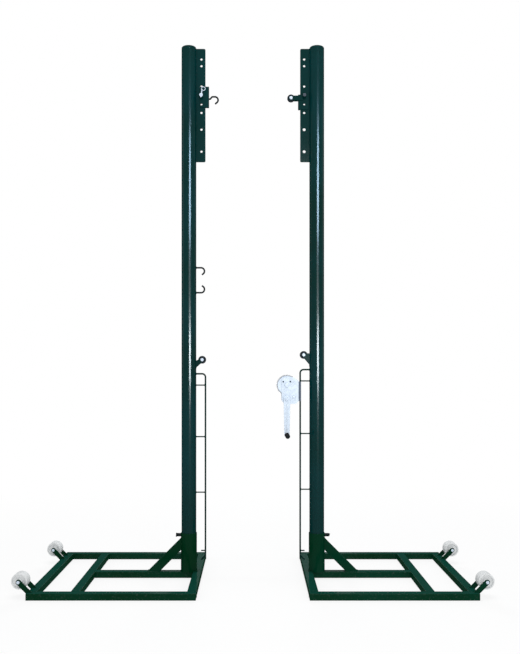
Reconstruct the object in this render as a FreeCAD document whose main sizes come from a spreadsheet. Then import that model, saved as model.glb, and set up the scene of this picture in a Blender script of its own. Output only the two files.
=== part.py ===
import FreeCAD, Part
import math
import os
import Sketcher

# A pair of free-standing court posts. Each post stands in a socket on a flat steel base
# with two transport wheels. Millimetres, +Z up, origin on the floor midway between the
# posts, X along the court's net line, Y from front to back.
# Every piece is laid out by its distance from its own post, counted towards the court,
# so that one description serves the left post (LEFT) and the right one (RIGHT).

LEFT = 1
RIGHT = -1
SIDES = {"left": LEFT, "right": RIGHT}

SIZES = {
    # Base of welded rectangular tube
    "post_x": 305, "half_depth": 390, "reach_in": 60, "reach_out": 670, "cross_at": 465,
    "rail_w": 40, "rail_high": 30, "rail_wall": 2, "rail_round": 3, "rail_round_in": 1,
    # Socket, brace and lock screw
    "socket_r": 38, "socket_bore_r": 35.5, "socket_top": 213, "socket_rim": 1,
    "brace_foot_far": 194.6, "brace_foot_near": 138, "brace_end": 20, "brace_half": 15,
    "lock_z": 202, "lock_r": 4, "lock_run": 0.05, "lock_gap": 0.4, "boss_r": 8, "boss_end": 48,
    "knob_r": 8, "knob_start": 48.4, "knob_end": 58, "bar_seat": 1.5, "bar_r": 2.5,
    "bar_reach": 13, "bar_tilt": 33,
    # Wheels and their forks
    "wheel_x": -706, "wheel_z": 74, "wheel_r": 35, "wheel_half": 29, "hub_half": 34, "hub_r": 14,
    "rim_r": 28, "rim_recess": 6, "tread_round": 6, "wheel_bore": 4.05,
    "front_fork_y": -332.5, "rear_fork_y": 275.5, "fork_gap_half": 35, "cheek_wall": 5,
    "cheek_tip_r": 11, "cheek_foot": 646.4, "cheek_lap": 7.6, "bolt_r": 4, "bolt_clear": 0.2,
    "bolt_hex": 13, "bolt_head": 5.5, "nut_high": 6.5, "bolt_tail": 2,
    # Post and cap
    "post_r": 35, "post_wall": 3, "post_top": 2528, "cap_high": 12, "cap_plug": 25,
    "cap_plug_gap": 0.2, "cap_round": 7, "root_x": 20,
    # Height plate
    "plate_half": 3, "plate_edge": 79, "plate_low": 1980, "plate_high": 2520, "plate_round": 6,
    "hole_x": 60, "hole_r": 5.5, "big_hole_r": 7,
    "hole_a": 2030, "hole_b": 2135, "hole_c": 2215, "hole_d": 2255, "hole_e": 2291,
    "hole_f": 2341, "hole_g": 2438, "hole_i": 2470,
    # Sliders
    "slide_gap": 3.3, "slide_out": 7.3, "slide_wall": 4, "fold_r": 1, "left_slide_in": 54,
    "left_slide_out": 96, "left_slide_low": 2240, "left_slide_high": 2338,
    "right_slide_in": 39, "right_slide_out": 89, "right_slide_low": 2230,
    "right_slide_high": 2300, "pin_z": 2291, "pin_r": 5, "pin_run": 0.05,
    "collar_r": 9, "collar_high": 10, "fork_plate": 3, "fork_root": 66,
    "top_pulley_x": 123, "top_pulley_z": 2284, "fork_root_half": 11, "fork_tip_r": 10.8,
    # Net hook and rope hooks of bent rod
    "rod_r": 4, "hook_z": 2281, "hook_knee_x": 102, "hook_knee_bend": 6, "hook_rise_x": 110,
    "hook_rise_bend": 10, "hook_crown_z": 2292, "hook_far_x": 139, "hook_crown_bend": 15,
    "hook_turn_z": 2270, "hook_turn_bend": 12, "hook_tip_x": 125, "hook_tip_z": 2257,
    "cleat_bend": 16, "cleat_corner": 101.3, "cleat_tip_x": 62,
    "cleat_up": 1476, "cleat_down": 1357, "cleat_rise": 34,
    # Height pins and pull ring
    "pin_tip": -3.5, "pin_seat": -29.8, "pin_head": 4, "pin_head_r": 8, "leg_half": 2.5,
    "leg_half_top": 2, "leg_round": 1,
    "leg_deep": 6, "leg_foot_z": 2278, "leg_foot_x": 59.5, "leg_top_x": 63.9,
    "leg_top_z": 2308.2, "eye_x": 64.6, "eye_z": 2311.6, "eye_r": 4.2, "eye_hole": 2,
    "eye_half": 1.5, "ring_r": 9, "ring_wire": 1.5,
    # Pulley arms
    "arm_in": 7, "arm_wall": 4, "arm_eye_r": 8.5, "rod_root": 25,
    "left_arm_x": 63.5, "left_arm_z": 1037, "left_arm_low": 987, "left_arm_high": 1026,
    "right_arm_x": 62.5, "right_arm_z": 1060, "right_arm_low": 996, "right_arm_high": 1067,
    "pulley_r": 18.5, "top_pulley_r": 17.5, "pulley_half": 6, "pulley_lip": 1.5,
    "pulley_groove": 5.5, "pulley_floor": 1.5, "pulley_bend": 2, "pulley_bore": 4.05,
    # Lacing frame of rod with three rungs
    "lace_x": 79, "lace_bend": 16, "rung_r": 3, "tail_bend": 12, "tail_knee": 103,
    "tail_x": 59.2, "tail_z": 83, "stub_z": 127, "stub_end": 58,
    "left_lace_top": 970, "left_rung_a": 916, "left_rung_b": 670, "left_rung_c": 405,
    "right_lace_top": 990, "right_rung_a": 936, "right_rung_b": 685, "right_rung_c": 419,
    # Winch bracket welded to the lacing rod
    "clip_in": 76, "clip_out": 88, "clip_half": 23, "clip_wall": 5, "clip_low": 841,
    "clip_high": 933, "clip_bolt_y": 11, "clip_bolt_low": 865, "clip_bolt_high": 915,
    "clip_bolt_r": 3, "clip_hex": 10, "clip_head": 4, "clip_nut": 5,
    # Winch frame
    "case_half": 30, "case_wall": 3, "case_out": 168, "case_top": 954, "case_low": 828,
    "case_lobe": 23, "case_round": 8, "case_toe": 101, "case_toe_round": 4, "case_heel": 841,
    "case_shoulder": 110, "case_neck": 936,
    # Drum, gears and crank
    "drum_x": 144, "drum_z": 917, "drum_core": 15, "drum_rim": 39, "drum_front": -18,
    "drum_back": 24, "drum_flange": 3, "rim_soft": 1, "axle_r": 6, "axle_run": 0.05, "axle_hex": 19,
    "axle_head": 7, "axle_nut": 9, "gear_front": -26, "gear_back": -20, "gear_tip": 49.7,
    "gear_root": 45.3, "gear_teeth": 48, "gear_gap_root": 1.35, "gear_gap_tip": 2.45,
    "pinion_z": 851, "pinion_tip": 19.7, "pinion_root": 15.3, "pinion_teeth": 18,
    "pinion_gap_root": 1.2, "pinion_gap_tip": 2.9, "gap_past": 0.8, "shaft_back": 33,
    "shaft_seat": -41, "shaft_nose": 2, "shaft_collar_r": 9, "collar_back": -30.5,
    "crank_wall": 5, "crank_eye": 16, "crank_half": 12.5, "crank_drop": 169,
    "spindle_r": 5, "spindle_end": -140, "spindle_head": 8, "spindle_rivet": 3, "grip_r": 11,
    "grip_near": -50, "grip_far": -136.5, "grip_round": 4, "grip_waist": 9.5, "grip_swell": 20,
    "swell_r": 30, "waist_r": 60, "crank_hex": 17, "crank_nut_high": 8,
    # Pawl that holds the drum
    "pawl_x": 110, "pawl_z": 861, "pawl_front": -25.5, "pawl_back": -20.5, "pawl_lift": 18,
    "pawl_boss": 7, "pawl_tail_round": 2, "pawl_bolt_r": 4, "pawl_bolt_back": -18.5,
    "pawl_bolt_head": 5, "pawl_bolt_head_r": 7,
}

doc = FreeCAD.newDocument("court_posts")
sheet = doc.addObject("Spreadsheet::Sheet", "Sizes")
for row, (name, value) in enumerate(SIZES.items(), start=1):
    sheet.set(f"A{row}", name)
    sheet.set(f"B{row}", str(value))
    sheet.setAlias(f"B{row}", name)
doc.recompute()


class Size:
    """A length that keeps both its value and the sheet formula that gives it."""

    def __init__(self, value, formula):
        self.value = value
        self.formula = formula

    def combine(self, other, value, sign):
        return Size(value, f"({self.formula} {sign} {as_size(other).formula})")

    def __add__(self, other):
        return self.combine(other, self.value + as_size(other).value, "+")

    def __sub__(self, other):
        return self.combine(other, self.value - as_size(other).value, "-")

    def __mul__(self, other):
        return self.combine(other, self.value * as_size(other).value, "*")

    def __truediv__(self, other):
        return self.combine(other, self.value / as_size(other).value, "/")

    def __radd__(self, other):
        return as_size(other) + self

    def __rsub__(self, other):
        return as_size(other) - self

    def __rmul__(self, other):
        return self * other

    def __neg__(self):
        return self * -1


def as_size(number):
    if isinstance(number, Size):
        return number
    return Size(number, f"({number})")


def size(name):
    return Size(SIZES[name], f"Sizes.{name}")


def at(side, x):
    """World X of a point that lies x from its post towards the court."""
    return (as_size(x) - size("post_x")) * side


def bind(thing, prop, length):
    thing.setExpression(prop, as_size(length).formula)


def new_body(name):
    body = doc.addObject("PartDesign::Body", name)
    body.Label = name
    body.AllowCompound = True
    return body


def place(body, x=0, y=0, z=0):
    bind(body, ".Placement.Base.x", x)
    bind(body, ".Placement.Base.y", y)
    bind(body, ".Placement.Base.z", z)


def origin_feature(body, role):
    return [f for f in body.Origin.OriginFeatures if f.Role == role][0]


def sketch_on(body, role, offset=0):
    """Sketch on the body's XY_Plane, XZ_Plane (seen from the front) or YZ_Plane."""
    sketch = body.newObject("Sketcher::SketchObject", "outline")
    sketch.AttachmentSupport = [(origin_feature(body, role), "")]
    sketch.MapMode = "FlatFace"
    towards_normal = -as_size(offset) if role == "XZ_Plane" else as_size(offset)
    bind(sketch, ".AttachmentOffset.Base.z", towards_normal)
    return sketch


def hold(sketch, kind, *where_and_length):
    """Adds one driving dimension and ties it to its formula."""
    where, length = where_and_length[:-1], as_size(where_and_length[-1])
    number = sketch.addConstraint(Sketcher.Constraint(kind, *where, float(length.value)))
    sketch.setExpression(f"Constraints[{number}]", length.formula)


def hold_point(sketch, element, end, x, y):
    hold(sketch, "DistanceX", -1, 1, element, end, x)
    hold(sketch, "DistanceY", -1, 1, element, end, y)


def draw_circle(sketch, x, y, radius):
    x, y, radius = as_size(x), as_size(y), as_size(radius)
    centre = FreeCAD.Vector(x.value, y.value, 0)
    ring = sketch.addGeometry(Part.Circle(centre, FreeCAD.Vector(0, 0, 1), radius.value))
    hold_point(sketch, ring, 3, x, y)
    hold(sketch, "Radius", ring, radius)


def draw_path(sketch, corners, closed=True):
    """Straight lines through the corners; a corner (x, y, radius) is rounded."""
    count = len(corners)
    spots = [FreeCAD.Vector(as_size(c[0]).value, as_size(c[1]).value, 0) for c in corners]
    leaves, enters, bends = [], [], {}
    for i, corner in enumerate(corners):
        if len(corner) == 2:
            enters.append(spots[i])
            leaves.append(spots[i])
            continue
        back = (spots[i - 1] - spots[i]).normalize()
        ahead = (spots[(i + 1) % count] - spots[i]).normalize()
        half = back.getAngle(ahead) / 2
        radius = as_size(corner[2]).value
        enters.append(spots[i] + back * (radius / math.tan(half)))
        leaves.append(spots[i] + ahead * (radius / math.tan(half)))
        centre = spots[i] + (back + ahead).normalize() * (radius / math.sin(half))
        bends[i] = (centre, radius, back.cross(ahead).z < 0)
    lines = []
    for i in range(count if closed else count - 1):
        line = Part.LineSegment(leaves[i], enters[(i + 1) % count])
        lines.append(sketch.addGeometry(line))
    for i, corner in enumerate(corners):
        before = lines[i - 1] if closed or i > 0 else None
        after = lines[i] if i < len(lines) else None
        if i in bends:
            centre, radius, turns_left = bends[i]
            first, last = (enters[i], leaves[i]) if turns_left else (leaves[i], enters[i])
            angles = [math.atan2(p.y - centre.y, p.x - centre.x) for p in (first, last)]
            circle = Part.Circle(centre, FreeCAD.Vector(0, 0, 1), radius)
            arc = sketch.addGeometry(Part.ArcOfCircle(circle, *angles))
            knee = sketch.addGeometry(Part.Point(spots[i]), True)
            start, end = (1, 2) if turns_left else (2, 1)
            sketch.addConstraint(Sketcher.Constraint("Tangent", before, 2, arc, start))
            sketch.addConstraint(Sketcher.Constraint("Tangent", arc, end, after, 1))
            sketch.addConstraint(Sketcher.Constraint("PointOnObject", knee, 1, before))
            sketch.addConstraint(Sketcher.Constraint("PointOnObject", knee, 1, after))
            hold_point(sketch, knee, 1, corner[0], corner[1])
            hold(sketch, "Radius", arc, corner[2])
        elif after is None:
            hold_point(sketch, before, 2, corner[0], corner[1])
        else:
            if before is not None:
                sketch.addConstraint(Sketcher.Constraint("Coincident", before, 2, after, 1))
            hold_point(sketch, after, 1, corner[0], corner[1])


def draw_tab(sketch, foot, eye, radius):
    """Tab from the foot corners, in drawing order, that narrows to a round eye."""
    spots = [FreeCAD.Vector(as_size(x).value, as_size(y).value, 0) for x, y in foot]
    centre = FreeCAD.Vector(as_size(eye[0]).value, as_size(eye[1]).value, 0)
    reach = as_size(radius).value

    def touch(spot, turn):
        away = spot - centre
        lean = math.acos(reach / away.Length)
        angle = math.atan2(away.y, away.x) + turn * lean
        return centre + FreeCAD.Vector(math.cos(angle), math.sin(angle), 0) * reach

    middle = (spots[0] + spots[-1]) * 0.5
    turn = 1 if (centre - middle).cross(spots[0] - middle).z < 0 else -1
    touches = [touch(spots[-1], -turn), touch(spots[0], turn)]
    chain = spots + touches
    lines = []
    for i in range(len(spots)):
        lines.append(sketch.addGeometry(Part.LineSegment(chain[i], chain[i + 1])))
    back = sketch.addGeometry(Part.LineSegment(touches[1], spots[0]))
    ordered = touches[::-1] if turn > 0 else touches
    angles = [math.atan2(p.y - centre.y, p.x - centre.x) for p in ordered]
    circle = Part.Circle(centre, FreeCAD.Vector(0, 0, 1), reach)
    arc = sketch.addGeometry(Part.ArcOfCircle(circle, *angles))
    start, end = (2, 1) if turn > 0 else (1, 2)
    for i in range(len(lines) - 1):
        sketch.addConstraint(Sketcher.Constraint("Coincident", lines[i], 2, lines[i + 1], 1))
    sketch.addConstraint(Sketcher.Constraint("Coincident", back, 2, lines[0], 1))
    sketch.addConstraint(Sketcher.Constraint("Tangent", lines[-1], 2, arc, start))
    sketch.addConstraint(Sketcher.Constraint("Tangent", arc, end, back, 1))
    for line, (x, y) in zip(lines, foot):
        hold_point(sketch, line, 1, x, y)
    hold_point(sketch, arc, 3, eye[0], eye[1])
    hold(sketch, "Radius", arc, radius)


def add_feature(body, kind, sketch, **settings):
    feature = body.newObject(f"PartDesign::{kind}", kind.lower())
    feature.Profile = sketch
    for prop, value in settings.items():
        if isinstance(value, Size):
            bind(feature, prop, value)
        else:
            setattr(feature, prop, value)
    sketch.Visibility = False
    return feature


def pad_between(body, draw, low, high):
    """Solid between two Y positions (low in front) of an outline in the XZ plane."""
    sketch = sketch_on(body, "XZ_Plane", high)
    draw(sketch)
    return add_feature(body, "Pad", sketch, Length=as_size(high) - low)


def pad_along_x(body, draw, low, high):
    sketch = sketch_on(body, "YZ_Plane", low)
    draw(sketch)
    return add_feature(body, "Pad", sketch, Length=as_size(high) - low)


def pad_upwards(body, draw, low, high):
    sketch = sketch_on(body, "XY_Plane", low)
    draw(sketch)
    return add_feature(body, "Pad", sketch, Length=as_size(high) - low)


def cut_through(body, draw, role):
    """Cuts an outline right through the body, both ways from the named plane."""
    sketch = sketch_on(body, role)
    draw(sketch)
    return add_feature(body, "Pocket", sketch, Type=1, Midplane=True)


def cut_between(body, draw, low, high):
    """Hollow between two Y positions of an outline in the XZ plane."""
    sketch = sketch_on(body, "XZ_Plane", low)
    draw(sketch)
    return add_feature(body, "Pocket", sketch, Length=as_size(high) - low)


def cut_along_x(body, draw, low, high):
    sketch = sketch_on(body, "YZ_Plane", high)
    draw(sketch)
    return add_feature(body, "Pocket", sketch, Length=as_size(high) - low)


def turned(body, outline, axis):
    """Turned piece: outline of (distance from the axis, height along the axis)."""
    role = "XY_Plane" if axis == "Y_Axis" else "XZ_Plane"
    sketch = sketch_on(body, role)
    draw_path(sketch, outline)
    feature = add_feature(body, "Revolution", sketch, Angle=360)
    feature.ReferenceAxis = (origin_feature(body, axis), [""])
    return feature


def circle_at(x, y, radius):
    return lambda sketch: draw_circle(sketch, x, y, radius)


def path_of(corners):
    return lambda sketch: draw_path(sketch, corners)


def box_outline(x_low, x_high, y_low, y_high, radius):
    corners = [(x_low, y_low), (x_high, y_low), (x_high, y_high), (x_low, y_high)]
    return path_of([(x, y, radius) for x, y in corners])


def hexagon(x, y, across):
    """Upright hexagon with the given width across its flats."""
    corner = as_size(across) / math.sqrt(3)
    turns = [math.radians(60 * k) for k in range(6)]
    return path_of([(x + corner * math.cos(t), y + corner * math.sin(t)) for t in turns])


def span(side, a, b):
    """World X range between two distances from the post."""
    ends = [at(side, a), at(side, b)]
    return sorted(ends, key=lambda end: end.value)


def clear_of_post(body, side, radius):
    """Trims a welded piece to the round face that it stands against."""
    cut_through(body, circle_at(at(side, 0), 0, radius), "XY_Plane")


def rod(body, corners, radius, side):
    """Bent round rod whose path starts along X; corners are in the XZ plane."""
    profile = sketch_on(body, "YZ_Plane", at(side, corners[0][0]))
    draw_circle(profile, 0, corners[0][1], radius)
    spine = sketch_on(body, "XZ_Plane")
    path = [(at(side, corner[0]),) + tuple(corner[1:]) for corner in corners]
    draw_path(spine, path, closed=False)
    feature = body.newObject("PartDesign::AdditivePipe", "rod")
    feature.Profile = profile
    doc.recompute()
    feature.Spine = (spine, [f"Edge{i + 1}" for i in range(len(spine.Shape.Edges))])
    return feature


# Base


def rail_along_x(name, side, a, b, y_mid):
    """Closed-ended tube from a to b, both counted from the post."""
    body = new_body(name)
    low, high = span(side, a, b)
    half, wall = size("rail_w") / 2, size("rail_wall")
    outer = box_outline(y_mid - half, y_mid + half, 0, size("rail_high"), size("rail_round"))
    inner = box_outline(
        y_mid - half + wall, y_mid + half - wall, wall, size("rail_high") - wall,
        size("rail_round_in"))
    pad_along_x(body, outer, low, high)
    cut_along_x(body, inner, low + wall, high - wall)
    return body


def rail_along_y(name, side, x_mid, front, back):
    """Open-ended tube across the base between two Y limits."""
    body = new_body(name)
    half, wall = size("rail_w") / 2, size("rail_wall")
    low, high = span(side, x_mid - half, x_mid + half)
    outer = box_outline(low, high, 0, size("rail_high"), size("rail_round"))
    inner = box_outline(
        low + wall, high - wall, wall, size("rail_high") - wall, size("rail_round_in"))
    pad_between(body, outer, front, back)
    cut_between(body, inner, front, back)
    return body


def make_rails(word, side):
    half_rail = size("rail_w") / 2
    out, inn = -size("reach_out"), size("reach_in")
    far = size("half_depth") - half_rail
    rail_along_x(f"{word}_front_rail", side, out, inn, -far)
    rail_along_x(f"{word}_rear_rail", side, out, inn, far)
    inside = far - half_rail
    rail_along_y(f"{word}_outer_rail", side, out + half_rail, -inside, inside)
    rail_along_y(f"{word}_inner_rail", side, inn - half_rail, -inside, inside)
    cross = -size("cross_at")
    rail_along_y(f"{word}_cross_bar", side, cross, -inside, inside)
    rail_along_x(f"{word}_centre_bar", side, cross + half_rail, inn - 2 * half_rail, as_size(0))


def make_socket(word, side):
    body = new_body(f"{word}_post_socket")
    bore, outer = size("socket_bore_r"), size("socket_r")
    low, top, rim = size("rail_high"), size("socket_top"), size("socket_rim")
    turned(body, [(bore, low), (outer, low), (outer, top, rim), (bore, top, rim)], "Z_Axis")
    outwards = span(side, -size("socket_r") * 2, 0)
    low_x, high_x = [x - at(side, 0) for x in outwards]
    hole = circle_at(0, size("lock_z"), size("lock_r") + size("bolt_clear"))
    cut_along_x(body, hole, low_x, high_x)
    place(body, at(side, 0))


def make_brace(word, side):
    """Slanting tube from the centre bar up to the socket."""
    body = new_body(f"{word}_brace")
    floor, end = size("rail_high"), -size("brace_end")
    far, near = -size("brace_foot_far"), -size("brace_foot_near")
    slack = size("rail_wall") * math.sqrt(2)

    def slanted(far_x, near_x):
        corners = [
            (far_x, floor), (near_x, floor), (end, floor + end - near_x),
            (end, floor + end - far_x)]
        return path_of([(at(side, x), z) for x, z in corners])

    half = size("brace_half")
    pad_between(body, slanted(far, near), -half, half)
    inner_half = half - size("rail_wall")
    cut_between(body, slanted(far + slack, near - slack), -inner_half, inner_half)
    clear_of_post(body, side, size("socket_r"))


def make_lock_boss(side):
    body = new_body("boss")
    low, high = span(side, -size("boss_end"), -size("root_x"))
    pad_along_x(body, circle_at(0, size("lock_z"), size("boss_r")), low, high)
    clear_of_post(body, side, size("socket_r"))
    cut_through(body, circle_at(0, size("lock_z"), size("lock_r") + size("lock_run")), "YZ_Plane")
    return body


def make_lock_screw(word, side):
    """Hand screw with a round head and a cross bar, tip just clear of the post."""
    body = new_body(f"{word}_lock_screw")
    z = size("lock_z")
    tip = -size("post_r") - size("lock_gap")
    shank = span(side, -size("knob_end"), tip)
    pad_along_x(body, circle_at(0, z, size("lock_r")), *shank)
    knob = span(side, -size("knob_end"), -size("knob_start"))
    pad_along_x(body, circle_at(0, z, size("knob_r")), *knob)
    bar = sketch_on(body, "XY_Plane")
    draw_circle(bar, 0, 0, size("bar_r"))
    bar_x = at(side, -size("knob_end") - size("bar_seat"))
    bind(bar, ".AttachmentOffset.Base.x", bar_x)
    bind(bar, ".AttachmentOffset.Base.z", z)
    bar.setExpression(".AttachmentOffset.Rotation.Angle", "90 - Sizes.bar_tilt")
    bar.setExpression(".AttachmentOffset.Rotation.Axis.x", "1")
    bar.setExpression(".AttachmentOffset.Rotation.Axis.z", "0")
    add_feature(body, "Pad", bar, Length=size("bar_reach") * 2, Midplane=True)


# Wheels


def wheel_centres():
    for word, side in SIDES.items():
        for place_word in ("front", "rear"):
            yield word, side, place_word, size(f"{place_word}_fork_y")


def make_fork_cheeks(side):
    """Four plates that rise from the outer rail's corner and carry the wheel bolts."""
    body = new_body("cheeks")
    top, out = size("rail_high"), -size("reach_out")
    foot = [
        (-size("cheek_foot"), top), (out, top), (out, top - size("cheek_lap"))]
    foot = [(at(side, x), z) for x, z in foot]
    eye = (at(side, size("wheel_x")), size("wheel_z"))
    gap, wall = size("fork_gap_half"), size("cheek_wall")
    for middle in (size("front_fork_y"), size("rear_fork_y")):
        for low in (middle - gap - wall, middle + gap):
            pad_between(body, lambda s: draw_tab(s, foot, eye, size("cheek_tip_r")), low, low + wall)
    hole = circle_at(eye[0], eye[1], size("bolt_r") + size("bolt_clear"))
    cut_through(body, hole, "XZ_Plane")
    return body


def make_wheel(word, side, place_word, y):
    body = new_body(f"{word}_{place_word}_wheel")
    bore, hub, rim, tread = size("wheel_bore"), size("hub_r"), size("rim_r"), size("wheel_r")
    hub_half, half = size("hub_half"), size("wheel_half")
    inset, soft = half - size("rim_recess"), size("tread_round")
    outline = [
        (bore, -hub_half), (hub, -hub_half), (hub, -inset), (rim, -inset), (rim, -half),
        (tread, -half, soft), (tread, half, soft), (rim, half), (rim, inset), (hub, inset),
        (hub, hub_half), (bore, hub_half)]
    turned(body, outline, "Y_Axis")
    place(body, at(side, size("wheel_x")), y, size("wheel_z"))


def add_bolt(body, x, z, front, back, radius, hex_width, head, nut, tail):
    """Hexagon bolt along Y: head in front of one face, nut behind the other."""
    pad_between(body, circle_at(x, z, radius), front - head / 2, back + nut + tail)
    pad_between(body, hexagon(x, z, hex_width), front - head, front)
    pad_between(body, hexagon(x, z, hex_width), back, back + nut)


def make_wheel_bolts(side):
    body = new_body("bolts")
    reach = size("fork_gap_half") + size("cheek_wall")
    for middle in (size("front_fork_y"), size("rear_fork_y")):
        add_bolt(
            body, at(side, size("wheel_x")), size("wheel_z"), middle - reach, middle + reach,
            size("bolt_r"), size("bolt_hex"), size("bolt_head"), size("nut_high"),
            size("bolt_tail"))
    return body


def group(name, bodies):
    """Identical small pieces, kept together as separate solids."""
    bundle = doc.addObject("Part::Compound", name)
    bundle.Label = name
    bundle.Links = bodies


# Posts


def make_post(word, side):
    body = new_body(f"{word}_post_tube")
    outer, wall = size("post_r"), size("post_wall")
    low, high = size("rail_high"), size("post_top") - size("cap_high")
    turned(body, [(outer - wall, low), (outer, low), (outer, high), (outer - wall, high)], "Z_Axis")
    place(body, at(side, 0))


def make_cap(word, side):
    body = new_body(f"{word}_post_cap")
    top, outer = size("post_top"), size("post_r")
    plug = outer - size("post_wall") - size("cap_plug_gap")
    low = top - size("cap_high")
    outline = [
        (0, low - size("cap_plug")), (plug, low - size("cap_plug")), (plug, low), (outer, low),
        (outer, top, size("cap_round")), (0, top)]
    turned(body, outline, "Z_Axis")
    place(body, at(side, 0))


def make_height_plate(word, side):
    """Flange on the post with the row of holes that sets the net height."""
    body = new_body(f"{word}_height_plate")
    inner, edge, soft = size("root_x"), size("plate_edge"), size("plate_round")
    low, high = size("plate_low"), size("plate_high")
    corners = [(inner, low), (edge, low, soft), (edge, high, soft), (inner, high)]
    outline = path_of([(at(side, c[0]),) + c[1:] for c in corners])
    pad_between(body, outline, -size("plate_half"), size("plate_half"))
    x = at(side, size("hole_x"))
    for letter in "abcdefgi":
        large = side == RIGHT and letter in "ab"
        radius = size("big_hole_r") if large else size("hole_r")
        cut_through(body, circle_at(x, size(f"hole_{letter}"), radius), "XZ_Plane")
    clear_of_post(body, side, size("post_r"))


def add_channel(body, word, side):
    """Folded channel that wraps the outer edge of the height plate."""
    inner, outer = size(f"{word}_slide_in"), size(f"{word}_slide_out")
    gap, out = size("slide_gap"), size("slide_out")
    web = outer - size("slide_wall")
    corners = [
        (inner, -out), (outer, -out, size("fold_r")), (outer, out, size("fold_r")),
        (inner, out), (inner, gap), (web, gap), (web, -gap), (inner, -gap)]
    outline = path_of([(at(side, c[0]),) + c[1:] for c in corners])
    pad_upwards(body, outline, size(f"{word}_slide_low"), size(f"{word}_slide_high"))


def cut_slider_holes(body, side):
    x = at(side, size("hole_x"))
    cut_through(body, circle_at(x, size("pin_z"), size("pin_r") + size("pin_run")), "XZ_Plane")
    cut_through(body, circle_at(x, size("hole_d"), size("hole_r")), "XZ_Plane")


def add_pin_collar(body, side):
    """Short guide tube for the height pin on the channel's front face."""
    front = -size("slide_out")
    collar = circle_at(at(side, size("hole_x")), size("pin_z"), size("collar_r"))
    pad_between(body, collar, front - size("collar_high"), front)


def make_left_slider():
    body = new_body("left_slider")
    add_channel(body, "left", LEFT)
    add_pin_collar(body, LEFT)
    cut_slider_holes(body, LEFT)


def make_right_slider():
    """Channel with two tongues that hold the rope pulley."""
    body = new_body("right_slider")
    add_channel(body, "right", RIGHT)
    add_pin_collar(body, RIGHT)
    z, half = size("top_pulley_z"), size("fork_root_half")
    root = at(RIGHT, size("fork_root"))
    foot = [(root, z + half), (root, z - half)]
    eye = (at(RIGHT, size("top_pulley_x")), z)
    near, far = size("slide_out"), size("slide_out") + size("fork_plate")
    for low, high in ((-far, -near), (near, far)):
        pad_between(body, lambda s: draw_tab(s, foot, eye, size("fork_tip_r")), low, high)
    cut_slider_holes(body, RIGHT)
    cut_through(body, circle_at(*eye, size("bolt_r") + size("bolt_clear")), "XZ_Plane")


def make_net_hook():
    """Crook of rod that leaves the slider, rises and curls round to its tip."""
    body = new_body("left_net_hook")
    z, crown, far = size("hook_z"), size("hook_crown_z"), size("hook_far_x")
    path = [
        (size("left_slide_out"), z), (size("hook_knee_x"), z, size("hook_knee_bend")),
        (size("hook_rise_x"), crown, size("hook_rise_bend")),
        (far, crown, size("hook_crown_bend")),
        (far, size("hook_turn_z"), size("hook_turn_bend")),
        (size("hook_tip_x"), size("hook_tip_z"))]
    rod(body, path, size("rod_r"), LEFT)


def make_rope_hooks():
    """Two rod hooks facing away from each other, on which the rope is wound."""
    body = new_body("left_rope_hooks")
    bend, corner, tip = size("cleat_bend"), size("cleat_corner"), size("cleat_tip_x")
    for start, rise in (("cleat_up", -size("cleat_rise")), ("cleat_down", size("cleat_rise"))):
        z = size(start)
        rod(body, [(size("rod_root"), z), (corner, z, bend), (tip, z + rise)], size("rod_r"), LEFT)
    clear_of_post(body, LEFT, size("post_r"))


def add_pin(body, side):
    """Headed pin, drawn forward until its tip is clear of the plate."""
    x, z = at(side, size("hole_x")), size("pin_z")
    seat = size("pin_seat")
    pad_between(body, circle_at(x, z, size("pin_r")), seat, size("pin_tip"))
    pad_between(body, circle_at(x, z, size("pin_head_r")), seat - size("pin_head"), seat)


def ring_plane_y():
    return size("pin_seat") - size("pin_head") - size("leg_deep") / 2


def make_left_pin():
    """Pin with an upright leg that ends in an eye for the pull ring."""
    body = new_body("left_height_pin")
    add_pin(body, LEFT)
    leg_x, leg_z = size("leg_foot_x"), size("leg_foot_z")
    top_x, top_z = size("leg_top_x"), size("leg_top_z")
    half, half_top, soft = size("leg_half"), size("leg_half_top"), size("leg_round")
    corners = [
        (leg_x - half, leg_z, soft), (leg_x + half, leg_z, soft), (top_x + half_top, top_z),
        (top_x - half_top, top_z)]
    front = size("pin_seat") - size("pin_head") - size("leg_deep")
    outline = path_of([(at(LEFT, c[0]),) + c[1:] for c in corners])
    pad_between(body, outline, front, front + size("leg_deep"))
    return body


def make_ring_eye():
    """Flat round eye, square to the wire of the ring."""
    disc = doc.addObject("Part::Cylinder", "eye_disc")
    hole = doc.addObject("Part::Cylinder", "eye_hole")
    bind(disc, "Radius", size("eye_r"))
    bind(hole, "Radius", size("eye_hole"))
    bind(disc, "Height", size("eye_half") * 2)
    bind(hole, "Height", size("eye_half") * 6)
    for tube, half in ((disc, size("eye_half")), (hole, size("eye_half") * 3)):
        slant = half / math.sqrt(2)
        bind(tube, ".Placement.Base.x", at(LEFT, size("eye_x")) + slant)
        bind(tube, ".Placement.Base.y", ring_plane_y())
        bind(tube, ".Placement.Base.z", size("eye_z") - slant)
        tube.Placement.Rotation = FreeCAD.Rotation(FreeCAD.Vector(0, 1, 0), -45)
    return disc, hole


def make_left_pin_with_eye():
    disc, hole = make_ring_eye()
    pin = make_left_pin()
    pin.Label = "pin_blank"
    joined = doc.addObject("Part::MultiFuse", "pin_with_disc")
    joined.Shapes = [pin, disc]
    cut = doc.addObject("Part::Cut", "left_height_pin_cut")
    cut.Base = joined
    cut.Tool = hole
    cut.Label = "left_height_pin"


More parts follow.
